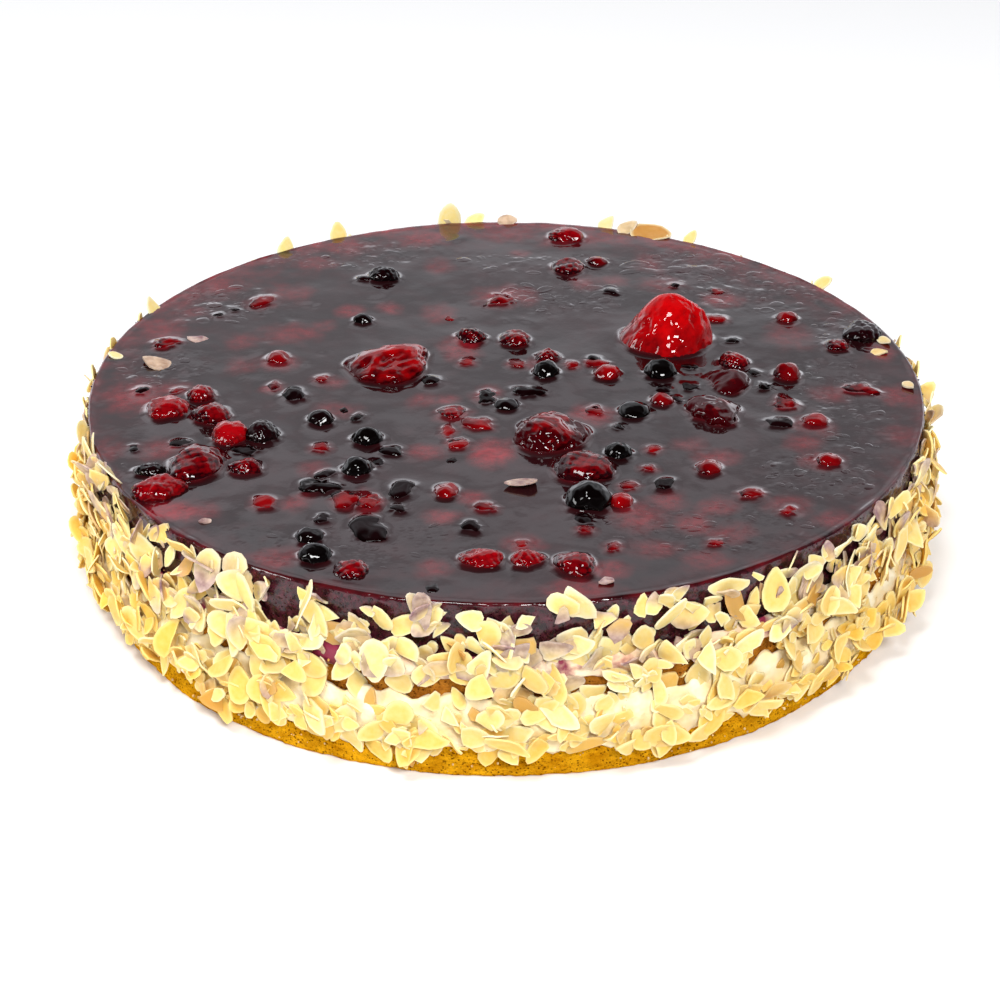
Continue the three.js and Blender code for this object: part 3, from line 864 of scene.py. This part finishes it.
def draw_down_side(radius):
    """Draws the selected disc's edge down into a side with a rounded rim, and closes its foot."""
    bpy.ops.object.mode_set(mode="EDIT")
    bpy.ops.mesh.select_mode(type="EDGE")
    bpy.ops.mesh.select_all(action="SELECT")
    bpy.ops.mesh.region_to_loop()
    edge = [(radius + 0.55, JELLY_TOP - 0.2), (radius + 0.8, JELLY_TOP - 0.65)]
    edge += [(radius + 0.85 - 0.3 * t, JELLY_TOP - 1.3 - 17.2 * t) for t in spaced(0, 1, 18)]
    edge.append((radius + 0.2, JELLY_FOOT))
    draw_up(edge, (radius, JELLY_TOP))
    bpy.ops.mesh.edge_face_add()
    bpy.ops.mesh.select_all(action="SELECT")
    bpy.ops.mesh.normals_make_consistent(inside=False)
    bpy.ops.object.mode_set(mode="OBJECT")


def jelly_body():
    """The jelly: a disc and its side, with the surface worked over. Returns the material."""
    radius = TART_RADIUS - 0.9
    piece = jelly_disc(radius)
    draw_down_side(radius)
    places = points(piece)
    far = np.hypot(places[:, 0], places[:, 1])
    depth = JELLY_TOP - places[:, 2]
    on_top = np.clip(1 - depth / 0.8, 0, 1)
    near_edge = np.clip((radius - far) / 4, 0, 1)
    rough = grain(places * np.array([1, 1, 1.8]), 3.2, 14.0, 3) * 0.45 + grain(places, 16, 2.0, 2) * 0.5
    wall = np.clip((depth + 0.1) / 1.6, 0, 1) * (places[:, 2] > JELLY_FOOT + 0.1)
    lip = (0.26 + 0.22 * grain(places, 8, 61.0, 2)) * np.exp(-(((far - radius) / 1.1) ** 2))
    rise = jelly_rise(places) * on_top * (0.25 + 0.75 * near_edge) + lip * on_top
    mark(piece, "glow", jelly_glow(places))
    mark(piece, "side", np.clip((depth - 0.15) / 0.7, 0, 1))
    mark(piece, "ripple", rippled(places))
    places[:, 2] += rise
    put(piece, moved_out(places, wall * rough))
    smooth(piece)
    material = jelly_material()
    piece.data.materials.append(material)
    dressed(piece, "jelly", "jelly")
    return material


# Fruit


def lattice(count):
    """Directions spread evenly over a sphere by the golden angle, with +Y as the axis."""
    golden = math.pi * (3 - math.sqrt(5))
    steps = np.arange(count) + 0.5
    level = 1 - 2 * steps / count
    ring = np.sqrt(1 - level**2)
    turn = golden * steps
    return np.stack([ring * np.cos(turn), level, ring * np.sin(turn)], 1)


def shaped(directions, kind, width, stretch):
    """Directions drawn out to a berry's smooth form, in millimetres, its tip towards +Y."""
    shape = SHAPES[kind]
    drawn = 1 - shape["taper"] * directions[:, 1]
    return np.stack([
        directions[:, 0] * drawn * width / 2,
        directions[:, 1] * width * shape["along"] * stretch / 2,
        directions[:, 2] * drawn * width * shape["thick"] / 2,
    ], 1)


def nearest(places, centres):
    """Distance from each place to the nearest and second nearest centre."""
    apart = np.linalg.norm(places[:, None, :] - centres[None, :, :], axis=2)
    apart.partition(1, axis=1)
    return apart[:, 0], apart[:, 1]


def drupelets(places, directions, kind, width, stretch, seed):
    """Round drupelets packed over the berry. Returns the relief and painted shade in the grooves between
    them.
    """
    pitch = SHAPES[kind]["pitch"] * (0.75 + 0.25 * width / 14)
    area = math.pi * width * width * SHAPES[kind]["along"] * stretch
    centres = shaped(lattice(max(18, int(area / pitch**2))), kind, width, stretch)
    first, second = nearest(places, centres)
    swell = np.sqrt(np.clip(1 - (first / (0.66 * pitch)) ** 2, 0, 1))
    painted_shade_and_tone = np.clip(1 - (second - first) / (0.55 * pitch), 0, 1)
    lumps = grain(places, width * 0.42, seed, 2) * width * 0.07
    film = np.clip(0.35 + grain(places, width * 0.35, seed + 6, 2) * 1.3, 0, 0.9)
    # Painted shade: the second value darkens the grooves between drupelets.
    return swell * pitch * 0.34 * (1 - 0.8 * film) + lumps, painted_shade_and_tone**2 * (1 - 0.6 * film)


def strawberry_skin(places, directions, kind, width, stretch, seed):
    """Seed dents and the slack folds of a thawed strawberry."""
    pitch = SHAPES[kind]["pitch"]
    area = math.pi * width * width * SHAPES[kind]["along"] * stretch
    centres = shaped(lattice(int(area / pitch**2)), kind, width, stretch)
    centres += np.stack([grain(centres, 3, seed + i, 1) for i in range(3)], 1) * 0.9
    first, _ = nearest(places, centres)
    film = np.clip(0.3 + 0.03 * (width - 24) + grain(places, width * 0.4, seed + 6, 2) * 1.2, 0, 0.92)
    dent = np.exp(-((first / 0.6) ** 2))
    folds = -np.abs(grain(places * np.array([1, 0.55, 1]), 5.5, seed, 3)) * (1 - film)
    lumps = grain(places, 13, seed + 4, 2)
    relief_here = -0.3 * dent * (1 - film) + folds * 1.6 + lumps * 1.6
    patches = np.clip(grain(places, 9, seed + 9, 2), 0, 1)
    # Colour mark: darker seeds and patches, and painted shade in the folds.
    return relief_here, np.clip(dent * 0.4 - folds * 0.7 + patches * 0.3, 0, 1)


def currant_skin(places, directions, kind, width, stretch, seed):
    """Smooth skin, a little slack, with the dried crown as a small dark nub at the end."""
    end = np.clip((-directions[:, 1] - 0.93) / 0.07, 0, 1)
    slack = grain(places, width * 0.5, seed, 2)
    return end * width * 0.05 + slack * width * 0.07, end


def blueberry_skin(places, directions, kind, width, stretch, seed):
    """Smooth skin with the five-lobed crown round a dent at the end."""
    polar = np.arccos(np.clip(-directions[:, 1], -1, 1))
    around = np.arctan2(directions[:, 0], directions[:, 2])
    ring = np.exp(-(((polar - 0.42 - 0.05 * np.cos(5 * around)) / 0.09) ** 2))
    dent = np.clip(1 - polar / 0.36, 0, 1)
    slack = grain(places, width * 0.6, seed, 2) + 0.3 * grain(places, width * 0.22, seed + 8, 2)
    return ring * 0.45 - dent * 0.7 + slack * width * 0.06, np.clip(dent + ring * 0.3, 0, 1)


SKINS = {
    "strawberry": strawberry_skin,
    "raspberry": drupelets,
    "bramble": drupelets,
    "blueberry": blueberry_skin,
    "redcurrant": currant_skin,
    "blackcurrant": currant_skin,
}


def grown_fruit(name, kind, width, turn, lean, stretch, seed, level):
    """One fruit at the origin, turned and leant, and its skin's colour mark: painted shade in grooves and
    folds, with darker seeds, crowns and patches.
    """
    piece = fresh(name, bpy.ops.mesh.primitive_ico_sphere_add, subdivisions=level, radius=MM)
    directions = points(piece)
    directions /= np.linalg.norm(directions, axis=1)[:, None]
    form = shaped(directions, kind, width, stretch)
    swell, painted_shade_and_tone = SKINS[kind](form, directions, kind, width, stretch, seed)
    places = form + directions * swell[:, None]
    placed = Matrix.Rotation(math.radians(turn), 3, "Z") @ Matrix.Rotation(math.radians(lean), 3, "X")
    places = places @ np.array(placed).T
    put(piece, places)
    smooth(piece)
    return piece, painted_shade_and_tone


def colour_depth_and_painted_shade(places, painted_shade_and_tone, shade, top):
    """How deep the fruit's colour is: its own depth, with painted shade in the skin's grooves and folds,
    down towards the jelly and on its unlit left.
    """
    up = np.clip((places[:, 2] - JELLY_TOP) / (top - JELLY_TOP), 0, 1)
    x = places[:, 0]
    left = np.clip((x.max() + x.min() - 2 * x) / np.ptp(x), 0, 1)
    # Painted shade in the skin's grooves, towards the foot and on the unlit left, added to the fruit's own
    # depth of colour.
    return np.clip(painted_shade_and_tone * 0.5 + shade + 0.5 * (1 - up) ** 1.3 + 0.42 * left**1.4, 0, 1.4)


def spread_cap(places, level):
    """The fruit with the part above a level widened, so that it leaves the jelly as steeply as a dome."""
    low, high = places.min(0), places.max(0)
    centre, half = (low + high) / 2, (high - low) / 2
    up = np.clip((places[:, 2] - centre[2]) / half[2], -0.97, 0.97)
    line = min(max((level - centre[2]) / half[2], 0), 0.8)
    share = np.clip((up - line) / (1 - line), 0, 0.97)
    above = np.sqrt((1 - share**2) / (1 - up**2))
    wide = np.minimum(np.where(up > line, above, 1 / np.sqrt(1 - np.maximum(up, 0) ** 2)), 1.5)
    spread = places.copy()
    spread[:, :2] = centre[:2] + (places[:, :2] - centre[:2]) * wide[:, None]
    return spread


# How a strawberry's own form differs from an egg's: how far its tip lies to the right, in millimetres, and
# how much its left and its right flank are drawn in towards a cone.
FORMS = {
    "strawberry_1": (2.4, 0.62, -0.05),
    "strawberry_2": (3.5, 0.25, -0.2),
    "strawberry_3": (-2.0, -0.2, 0.1),
}


def drawn_to_tip(places, name):
    """The fruit with its flanks drawn in towards its tip, above the jelly."""
    shift, left, right = FORMS[name]
    middle = (places.max(0) + places.min(0)) / 2
    top = places[:, 2].max()
    up = np.clip((places[:, 2] - JELLY_TOP) / (top - JELLY_TOP), 0, 1)
    cone = (1.02 - up) ** 0.12 / np.sqrt(1 + up)
    across = places[:, 0] - middle[0]
    share = np.where(across < 0, left, right)
    narrow = 1 + share * (cone - 1)
    drawn = places.copy()
    drawn[:, 0] = middle[0] + shift * up + across * narrow
    drawn[:, 1] = middle[1] + (places[:, 1] - middle[1]) * (1 + 0.5 * (left + right) * (cone - 1))
    return drawn


def standing_fruit(materials):
    """Each berry that stands in the jelly, set in its node's box. Returns where they leave the jelly."""
    lines = []
    for index, (kind, name, (width, turn, lean, stretch, shade)) in enumerate(standing_nodes()):
        level = 6 if width > 20 else 5
        piece, painted_shade_and_tone = grown_fruit(f"{name}_fruit", kind, width, turn, lean, stretch, 1.7 * index, level)
        low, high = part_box(name)
        places = points(piece)
        size_now = places.max(0) - places.min(0)
        size_due = np.array(high - low) / MM
        places *= np.minimum(size_due / size_now, 1.08) * LARGER.get(name, 1)
        middle = (places.max(0) + places.min(0)) / 2
        places[:, 0] += (low.x + high.x) / 2 / MM - middle[0]
        places[:, 1] += (low.y + high.y) / 2 / MM - middle[1]
        places[:, 2] += high.z / MM - places[:, 2].max()
        places = spread_cap(places, JELLY_TOP + 0.6)
        if name in FORMS:
            places = drawn_to_tip(places, name)
        put(piece, places)
        mark(piece, "painted_shade_and_tone", colour_depth_and_painted_shade(places, painted_shade_and_tone, shade, high.z / MM))
        piece.data.materials.append(materials[kind])
        dressed(piece, kind, name)
        red = 0.12 if kind in ("strawberry", "raspberry", "redcurrant") else 0
        lines.append(waterline(places, red, min(0.8, 0.3 + 0.09 * (high.z / MM - JELLY_TOP)), 0.85))
    return [line for line in lines if line]


def joined(name, meshes, marks, material, slot, degrees=None):
    """One piece from many (places, faces) pairs, with its marks."""
    mesh = bpy.data.meshes.new(name)
    offset, all_places, all_faces = 0, [], []
    for places, faces in meshes:
        all_places.append(places)
        all_faces.extend([tuple(i + offset for i in face) for face in faces])
        offset += len(places)
    mesh.from_pydata(np.concatenate(all_places) * MM, [], all_faces)
    piece = bpy.data.objects.new(name, mesh)
    bpy.context.scene.collection.objects.link(piece)
    for key, values in marks.items():
        mark(piece, key, np.concatenate(values))
    mesh.materials.append(material)
    smooth(piece, degrees)
    return dressed(piece, slot)


def sunk_fruit(name, rows, kind, lumpy_share, material, seed):
    """Small fruit of one kind, mostly under the jelly, joined in one piece. Returns where they leave it."""
    draw = random.Random(seed)
    meshes, shade_and_tone_marks, lines = [], [], []
    for index, (x, y, width, rise) in enumerate(rows):
        rise *= SUNK_SHOWS
        lumpy = draw.random() < lumpy_share and width > 6
        skin = ("raspberry" if kind == "redcurrant" else "bramble") if lumpy else kind
        turn, lean, stretch = draw.uniform(-90, 90), draw.uniform(-10, 25), draw.uniform(0.85, 1.3)
        berry, painted_shade_and_tone = grown_fruit("sunk", skin, width, turn, lean, stretch, index * 2.3, 4)
        places = points(berry)
        places += grain(places, width * 0.5, index * 3.1, 2)[:, None] * places * 0.24
        places *= np.array([draw.uniform(0.85, 1.2), draw.uniform(0.85, 1.2), 0.7])
        level = JELLY_TOP + jelly_rise(np.array([[x, y, 0]]))[0]
        places = spread_cap(places + np.array([x, y, level + rise - places[:, 2].max()]), level)
        meshes.append((places, taken_apart(berry)[1]))
        shade_and_tone_marks.append(colour_depth_and_painted_shade(places, painted_shade_and_tone, draw.uniform(0.2, 0.6), JELLY_TOP + rise))
        climb = min(0.2 + 0.2 * rise, 0.5 * rise)
        lines.append(waterline(places, 0.3 if kind == "redcurrant" else 0, climb, 1.3))
    joined(name, meshes, {"painted_shade_and_tone": shade_and_tone_marks}, material, kind)
    return [line for line in lines if line]


# Almonds


FLAKE_STEPS = 16

# Edges of a flake sharper than this many degrees stay crisp
CRISP_EDGE = 38


def flake_master():
    """One flat flake by hand: a disc with an inner ring, given its thickness. Length and width are 1."""
    piece = fresh(
        "flake_master",
        bpy.ops.mesh.primitive_circle_add,
        vertices=FLAKE_STEPS,
        radius=0.5 * MM,
        fill_type="NGON",
    )
    bpy.ops.object.mode_set(mode="EDIT")
    bpy.ops.mesh.select_all(action="SELECT")
    bpy.ops.mesh.inset(thickness=0.15 * MM)
    bpy.ops.object.mode_set(mode="OBJECT")
    thick = piece.modifiers.new("thickness", "SOLIDIFY")
    thick.thickness = 0.1 * MM
    thick.offset = 0
    bpy.ops.object.modifier_apply(modifier="thickness")
    return taken_apart(piece)


def flake_outline(draw, whole):
    """The outline of a slice of almond, one unit long: a drop, often broken unless it is whole."""
    breadth = draw.uniform(0.62, 0.7) if whole else draw.uniform(0.4, 0.66)
    taper, point = draw.uniform(0.1, 0.45), draw.uniform(0.1, 0.5)
    outline = []
    for step in range(FLAKE_STEPS):
        angle = math.tau * step / FLAKE_STEPS
        narrow = (1 - taper * math.cos(angle)) * (1 - point * max(0, math.cos(angle)) ** 4)
        across = breadth / 2 * math.sin(angle) * narrow * draw.uniform(0.95, 1.05)
        outline.append(Vector((0.5 * math.cos(angle) * draw.uniform(0.96, 1.04), across)))
    for _ in range(0 if whole else draw.choice((0, 1, 1, 1, 2, 2, 3, 3))):
        turn, limit = draw.uniform(0, math.tau), draw.uniform(0.07, 0.26)
        edge = Vector((math.cos(turn), math.sin(turn)))
        outline = [p * min(1, limit / max(p.dot(edge), 0.01) * draw.uniform(0.95, 1.06)) for p in outline]
    return np.array([tuple(p) for p in outline])


def flake_form(master, draw, length, whole=False):
    """A flake with its own outline and thickness, cupped and twisted a little."""
    outline = flake_outline(draw, whole)
    step = np.rint(np.arctan2(master[:, 1], master[:, 0]) / math.tau * FLAKE_STEPS).astype(int) % FLAKE_STEPS
    share = np.hypot(master[:, 0], master[:, 1]) * 2
    along, across = (outline[step] * share[:, None]).T
    cup, twist = draw.uniform(-0.3, 0.3), draw.uniform(-0.5, 0.5)
    lift = cup * (along**2 + 1.2 * across**2) + twist * along * across
    lift += draw.uniform(-0.03, 0.03) * np.sin(9 * along + draw.uniform(0, 6))
    thickness = draw.uniform(0.35, 0.7)
    out = lift * length + np.sign(master[:, 2]) * thickness / 2
    return np.stack([out, across * length, along * length], 1)


def flake_marks(master, draw, places, toast_share, stain_share, tone=0.5):
    """The marks of one flake: how far in from its edge, its tone (which carries painted shade on the
    flanks), its toasting and its stain.
    """
    middle = np.clip((1 - np.hypot(master[:, 0], master[:, 1]) * 2) / 0.3, 0, 1)
    ones = np.ones(len(places))
    toast = draw.uniform(0.3, 0.85) if draw.random() < toast_share else draw.uniform(0, 0.12)
    stained = 0 * ones
    if draw.random() < stain_share:
        slope = np.array([0, draw.uniform(-1, 1), draw.uniform(-1, 1)])
        inner = (places * slope).sum(1) / (np.abs(places).max() + 0.01)
        soaked = np.clip(draw.uniform(-0.3, 1.0) + inner * draw.uniform(0.8, 2.4), 0, 1)
        stained = soaked * draw.uniform(0.6, 1)
    tone = ones * np.clip(tone + draw.uniform(-0.35, 0.35), 0, 1)
    return {"middle": middle, "tone": tone, "toast": ones * toast, "stained": stained}


def flake_place(angle, radius, height, turn, tip, roll):
    """The matrix of a flake on the side: spun in its own plane, then tipped, then set out from the axis."""
    return (
        Matrix.Rotation(angle, 4, "Z")
        @ Matrix.Translation((radius, 0, height))
        @ Matrix.Rotation(roll, 4, "Y")
        @ Matrix.Rotation(tip, 4, "Z")
        @ Matrix.Rotation(turn, 4, "X")
    )


def side_radius(height):
    """The radius of what the flakes lie on, at one height."""
    for foot, top, lap, proud in ((SPONGE_TOP, MIDDLE_FOOT, 3.4, 2.6), (MIDDLE_TOP, JELLY_FOOT, 1.6, 1.5)):
        away = abs(height - (foot + top) / 2) / ((top - foot) / 2 + lap)
        if away < 1:
            return LAP + proud * math.cos(away * math.pi / 2) ** 0.6
    return TART_RADIUS


def in_window(degrees, height):
    """True where the coat of almonds is open and the middle sponge shows."""
    if not MIDDLE_FOOT - 1 < height < MIDDLE_TOP + 3:
        return False
    gap = min(abs((degrees - at + 180) % 360 - 180) - half for at, half in SPONGE_WINDOWS)
    return gap < 0


def flake_on_side(draw, master, angle, height, length, under, lift):
    """The points of one flake laid on the side at an angle and height, over the flakes that lie under it."""
    places = flake_form(master, draw, length)
    sway = draw.choice((0.2, 0.3, 0.4, 0.5, 0.65, 1.0))
    tip, roll, turn = draw.uniform(-sway, sway), draw.uniform(-sway, sway), draw.uniform(0, math.tau)
    dip = length * 0.36 * max(abs(math.sin(tip)) * 0.7, abs(math.sin(roll)))
    radius = side_radius(height) * float(uneven(angle)) + 0.35 + dip * 0.6 + min(under, 6) * lift
    placed = flake_place(angle, radius, height, turn, tip, roll)
    places = places @ np.array(placed.to_3x3()).T + np.array(placed.to_translation())
    too_far = max(0, np.hypot(places[:, 0], places[:, 1]).max() - FLAKE_REACH)
    places -= np.array([math.cos(angle), math.sin(angle), 0]) * too_far
    places[:, 2] = np.maximum(places[:, 2], 0.3)
    return places


def coat_of_flakes(name, count, low, high, toast_share, stain_share, lift, material, slot, seed):
    """A band of flakes round the side, later ones lying on earlier ones."""
    draw = random.Random(seed)
    master, faces = flake_master()
    meshes, marks = [], {"middle": [], "tone": [], "toast": [], "stained": []}
    laid = np.full((count, 4), 1e6)
    turned_by = 0
    while len(meshes) < count:
        turned_by += 137.508
        degrees = (turned_by + draw.uniform(-4, 4)) % 360 - 180
        height = low(degrees) + (high(degrees) - low(degrees)) * draw.random()
        if in_window(degrees, height) and draw.random() < 0.88:
            continue
        length = draw.uniform(9.5, 15.5) if draw.random() < 0.6 else draw.uniform(4.5, 9.5)
        angle = math.radians(degrees)
        here = np.array([math.cos(angle) * COAT_RADIUS, math.sin(angle) * COAT_RADIUS, height])
        apart = np.linalg.norm(laid[:, :3] - here, axis=1)
        under = int((apart < (laid[:, 3] + length) * 0.24).sum())
        laid[len(meshes)] = (*here, length)
        places = flake_on_side(draw, master, angle, height, length, under, lift)
        # Painted shade: the tone deepens to gold on the left and right flanks; it also deepens towards the
        # foot.
        tone = 0.62 - 0.55 * (height - 10) / 50 + 0.5 * math.cos(angle) ** 2
        own = flake_marks(master, draw, places - places.mean(0), toast_share, stain_share(height), tone)
        meshes.append((places, faces))
        for key in marks:
            marks[key].append(own[key])
    joined(name, meshes, marks, material, slot, CRISP_EDGE)


def wavy(level, sway, seed, tilt=0.0):
    """A level that wanders round the tart and is higher at the front by the tilt."""

    def at(degrees):
        along, across = math.cos(math.radians(degrees)), math.sin(math.radians(degrees))
        wander = noise.fractal(Vector((along * 4, across * 4, seed)), 1, 2, 3)
        return level - tilt * across + sway * wander

    return at


def upper_stain(height):
    """The share of flakes stained by the jelly, which grows towards it."""
    return 0.13 + 0.5 * max(0, height - 37) / 10


def almonds(material):
    """Three bands of flakes, from the foot up: on the lower cream, on the upper cream and on the jelly."""
    to_the_rim = wavy(58.3, 3.5, 6.0, 2.2)
    bands = [
        ("almonds_lower", 1120, wavy(10.5, 4.5, 1.0), wavy(32, 2, 2.0), 0.06, lambda height: 0.03, "cream"),
        ("almonds_upper", 1140, wavy(32, 2, 3.0), wavy(48, 3, 4.0), 0.07, upper_stain, "cream_upper"),
        ("almonds_on_jelly", 440, wavy(46, 2, 5.0), to_the_rim, 0.04, lambda height: 0.62, "jelly"),
    ]
    for seed, (name, count, low, high, toast_share, stain_share, slot) in enumerate(bands, 5):
        coat_of_flakes(name, count, low, high, toast_share, stain_share, 0.5, material, slot, seed)


# Almonds that came to rest on the top or at its rim: x, y, height of the middle above the jelly, length,
# turn in the flake's plane, lean from upright, toasting and stain.
LOOSE = [
    (-22, 139.2, 0.8, 15, 5, 2, 0, 0),
    (-12, 139.5, 0.6, 9, 60, 30, 0.05, 0),
    (-65, 126, 0.8, 10, 10, 30, 0.05, 0),
    (-84, 112, 0.8, 10, 30, 30, 0.1, 0),
    (-127, 57, 0.6, 10, 20, 40, 0.3, 0),
    (57, 127, 0.8, 17, 84, 76, 1.9, 0.1),
    (48, 131, 1.2, 9, 40, 60, 0.3, 0.5),
    (40, 135, 1.2, 8, 30, 40, 0.1, 0.2),
    (1, 139, 0.9, 8, 80, 50, 0.5, 0.7),
    (72, 122, 0.8, 7, 20, 40, 0.1, 0.1),
    (118, 79, 1, 8, 40, 40, 0.3, 0),
    (-123, -66, 1.2, 13, 70, 40, 0.05, 0.3),
    (-120, 13, 0.8, 11, 20, 80, 0.3, 0.75),
    (-135, 19, 0.6, 6, 20, 80, 0.05, 0.1),
    (5, -71, 0.7, 10.5, 80, 76, 0.3, 0.9),
    (133, 30, 0.8, 6, 70, 80, 0.3, 0.3),
    (130, 22, 0.7, 6, 20, 80, 0.1, 0.3),
    (-90, -94, 0.5, 4, 40, 84, 0.4, 0.9),
    (29, -128, 0.5, 5, 70, 84, 0.3, 0.95),
    (136, -4, 0.6, 5, 60, 80, 0.3, 0.4),
    (-108, 32, 0.4, 9, 10, 86, 0.4, 0.95),
]


def loose_almonds(material):
    draw = random.Random(31)
    master, faces = flake_master()
    meshes, marks = [], {"middle": [], "tone": [], "toast": [], "stained": []}
    for x, y, up, length, turn, lean, toast, stain in LOOSE:
        places = flake_form(master, draw, length, True)
        angle, radius = math.atan2(y, x), math.hypot(x, y)
        placed = flake_place(angle, radius, JELLY_TOP + up, math.radians(turn), 0, math.radians(lean))
        meshes.append((places @ np.array(placed.to_3x3()).T + np.array(placed.to_translation()), faces))
        own = flake_marks(master, draw, places, 0, 0, 0.25)
        own["toast"] = own["toast"] * 0 + toast * (0.15 + 0.55 * own["middle"])
        own["stained"] = own["stained"] * 0 + stain
        for key in marks:
            marks[key].append(own[key])
    joined("almonds_loose", meshes, marks, material, "jelly", CRISP_EDGE)


def crumbs(material):
    """Almond dust and sponge crumbs caught on the side."""
    draw = random.Random(9)
    shape, faces = small_round(0.5)
    meshes = []
    for _ in range(700):
        angle = draw.uniform(-math.pi, math.pi)
        height = draw.uniform(1, 13) if draw.random() < 0.55 else draw.uniform(26, 46)
        size = draw.uniform(0.3, 1.1)
        stretch = np.array([draw.uniform(0.5, 1.2) for _ in range(3)]) * size
        radius = side_radius(height) * float(uneven(angle)) + 0.1
        centre = np.array([math.cos(angle) * radius, math.sin(angle) * radius, height])
        meshes.append((shape * stretch + centre, faces))
    joined("crumbs", meshes, {}, material, "cream")


# Setting


def dressed(piece, slot, *nodes):
    """Rides the piece on the tart, and lets it stand for nodes of the frame by hiding them. The slot is not
    used.
    """
    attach(piece, "root")
    if nodes:
        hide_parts(*nodes)
    return piece


def fruit_materials():
    black = (0.001, 0.0005, 0.0005)
    return {
        "strawberry": fruit_material("red_strawberry", (0.44, 0.001, 0.002), (0.030, 0, 0.001), 0.05, 0.85),
        "raspberry": fruit_material("dark_raspberry", (0.28, 0.001, 0.003), (0.014, 0, 0.001), 0.05, 0.85),
        "bramble": fruit_material("black_bramble", (0.012, 0.001, 0.002), black, 0.05, 0.8),
        "blueberry": fruit_material("dark_blueberry", (0.002, 0.001, 0.001), black, 0.03, 0.8),
        "redcurrant": fruit_material("redcurrant", (0.25, 0.001, 0.002), (0.016, 0.000, 0.001), 0.04),
        "blackcurrant": fruit_material("blackcurrant", (0.005, 0.0005, 0.001), black, 0.03, 0.8),
        "sunk_red": fruit_material("sunk_redcurrant", (0.25, 0.001, 0.002), (0.016, 0, 0.001), 0.05, 0.6),
        "sunk_black": fruit_material(
            "sunk_blackcurrant", (0.006, 0.0005, 0.001), (0.001, 0.0003, 0.0003), 0.05, 0.4
        ),
    }


def stage():
    floor = fresh("floor", bpy.ops.mesh.primitive_plane_add, size=12)
    floor.data.materials.append(floor_material())
    studio_walls()
    lamp("front_softbox", 14, 42, 2.6, 0.6, 0.6, 0.82)
    lamp("left_softbox", -68, 26, 2.6, 0.5, 1.2, 0.4)
    lamp("top_softbox", -24, 64, 2.6, 0.6, 0.6, 0.5)


def studio_walls():
    """A white wall behind the tart, a dim room above and in front of it."""
    world = bpy.data.worlds.new("studio_walls")
    bpy.context.scene.world = world
    world.use_nodes = True
    background = world.node_tree.nodes["Background"]
    direction = node(world, "ShaderNodeSeparateXYZ")
    facing = node(world, "ShaderNodeTexCoord").outputs["Generated"]
    wire(world, facing, direction.inputs["Vector"])
    wall = node(world, "ShaderNodeValToRGB")
    stops = [
        (0, 1.1), (0.04, 1.9), (0.2, 1.9), (0.29, 0.95),
        (0.46, 0.66), (0.54, 1.32), (0.63, 1.4), (0.78, 0.1),
    ]
    while len(wall.color_ramp.elements) < len(stops):
        wall.color_ramp.elements.new(0.5)
    for element, (position, value) in zip(wall.color_ramp.elements, stops):
        element.position = position
        element.color = (value * 0.97, value * 0.98, value * 1.04, 1)
    wire(world, direction.outputs["Z"], wall.inputs["Fac"])
    behind = fitted(world, direction.outputs["Y"], 0.1, 0.55, 0.06, 1.0)
    clouds = node(world, "ShaderNodeTexNoise")
    clouds.inputs["Scale"].default_value = 3.5
    clouds.inputs["Detail"].default_value = 1
    wire(world, facing, clouds.inputs["Vector"])
    cloudy = fitted(world, clouds.outputs["Fac"], 0.35, 0.65, 0.72, 1.12)
    behind = counted(world, "MULTIPLY", behind, cloudy)
    aside = counted(world, "ABSOLUTE", direction.outputs["X"], 0)
    behind = counted(world, "MULTIPLY", behind, fitted(world, aside, 0.06, 0.3, 1.0, 1.3))
    wire(world, wall.outputs["Color"], background.inputs["Color"])
    wire(world, behind, background.inputs["Strength"])


def lamp(name, azimuth, elevation, distance, width, height, light_given):
    """A softbox that faces the tart. azimuth is from the front towards the right, in degrees."""
    turn, rise = math.radians(azimuth), math.radians(elevation)
    level = math.cos(rise)
    place = Vector((math.sin(turn) * level, -math.cos(turn) * level, math.sin(rise))) * distance
    bpy.ops.object.light_add(type="AREA", location=place)
    light = bpy.context.active_object
    light.name = name
    light.data.shape = "RECTANGLE"
    light.data.size = width
    light.data.size_y = height
    light.data.energy = light_given * (math.pi * distance) ** 2
    light.rotation_euler = (-place).to_track_quat("-Z", "Y").to_euler()


def camera():
    """The photograph's view: looking down by just under 30 degrees from 0.75 m away."""
    distance, above = 0.7481, math.radians(30.93)
    data = bpy.data.cameras.new("camera")
    data.lens = 76.26
    view = bpy.data.objects.new("camera", data)
    bpy.context.scene.collection.objects.link(view)
    view.location = (0, -distance * math.cos(above), distance * math.sin(above))
    view.rotation_euler = (math.radians(90 - 29.96), 0, math.radians(0.15))
    bpy.context.scene.camera = view
    bpy.context.scene.view_settings.view_transform = "Standard"


camera()
stage()
sponge_base()
cream_lower()
sponge_middle()
cream_upper()
jelly_paint = jelly_body()
paints = fruit_materials()
lines = standing_fruit(paints)
lines += sunk_fruit("sunk_redcurrants", SUNK_RED, "redcurrant", 0.5, paints["sunk_red"], 3)
lines += sunk_fruit("sunk_blackcurrants", SUNK_BLACK, "blackcurrant", 0.4, paints["sunk_black"], 4)
collars(jelly_paint, lines)
surface_bubbles(jelly_paint)
side_bubbles(jelly_paint)
almond = almond_material()
almonds(almond)
loose_almonds(almond)
crumbs(crumb_material())
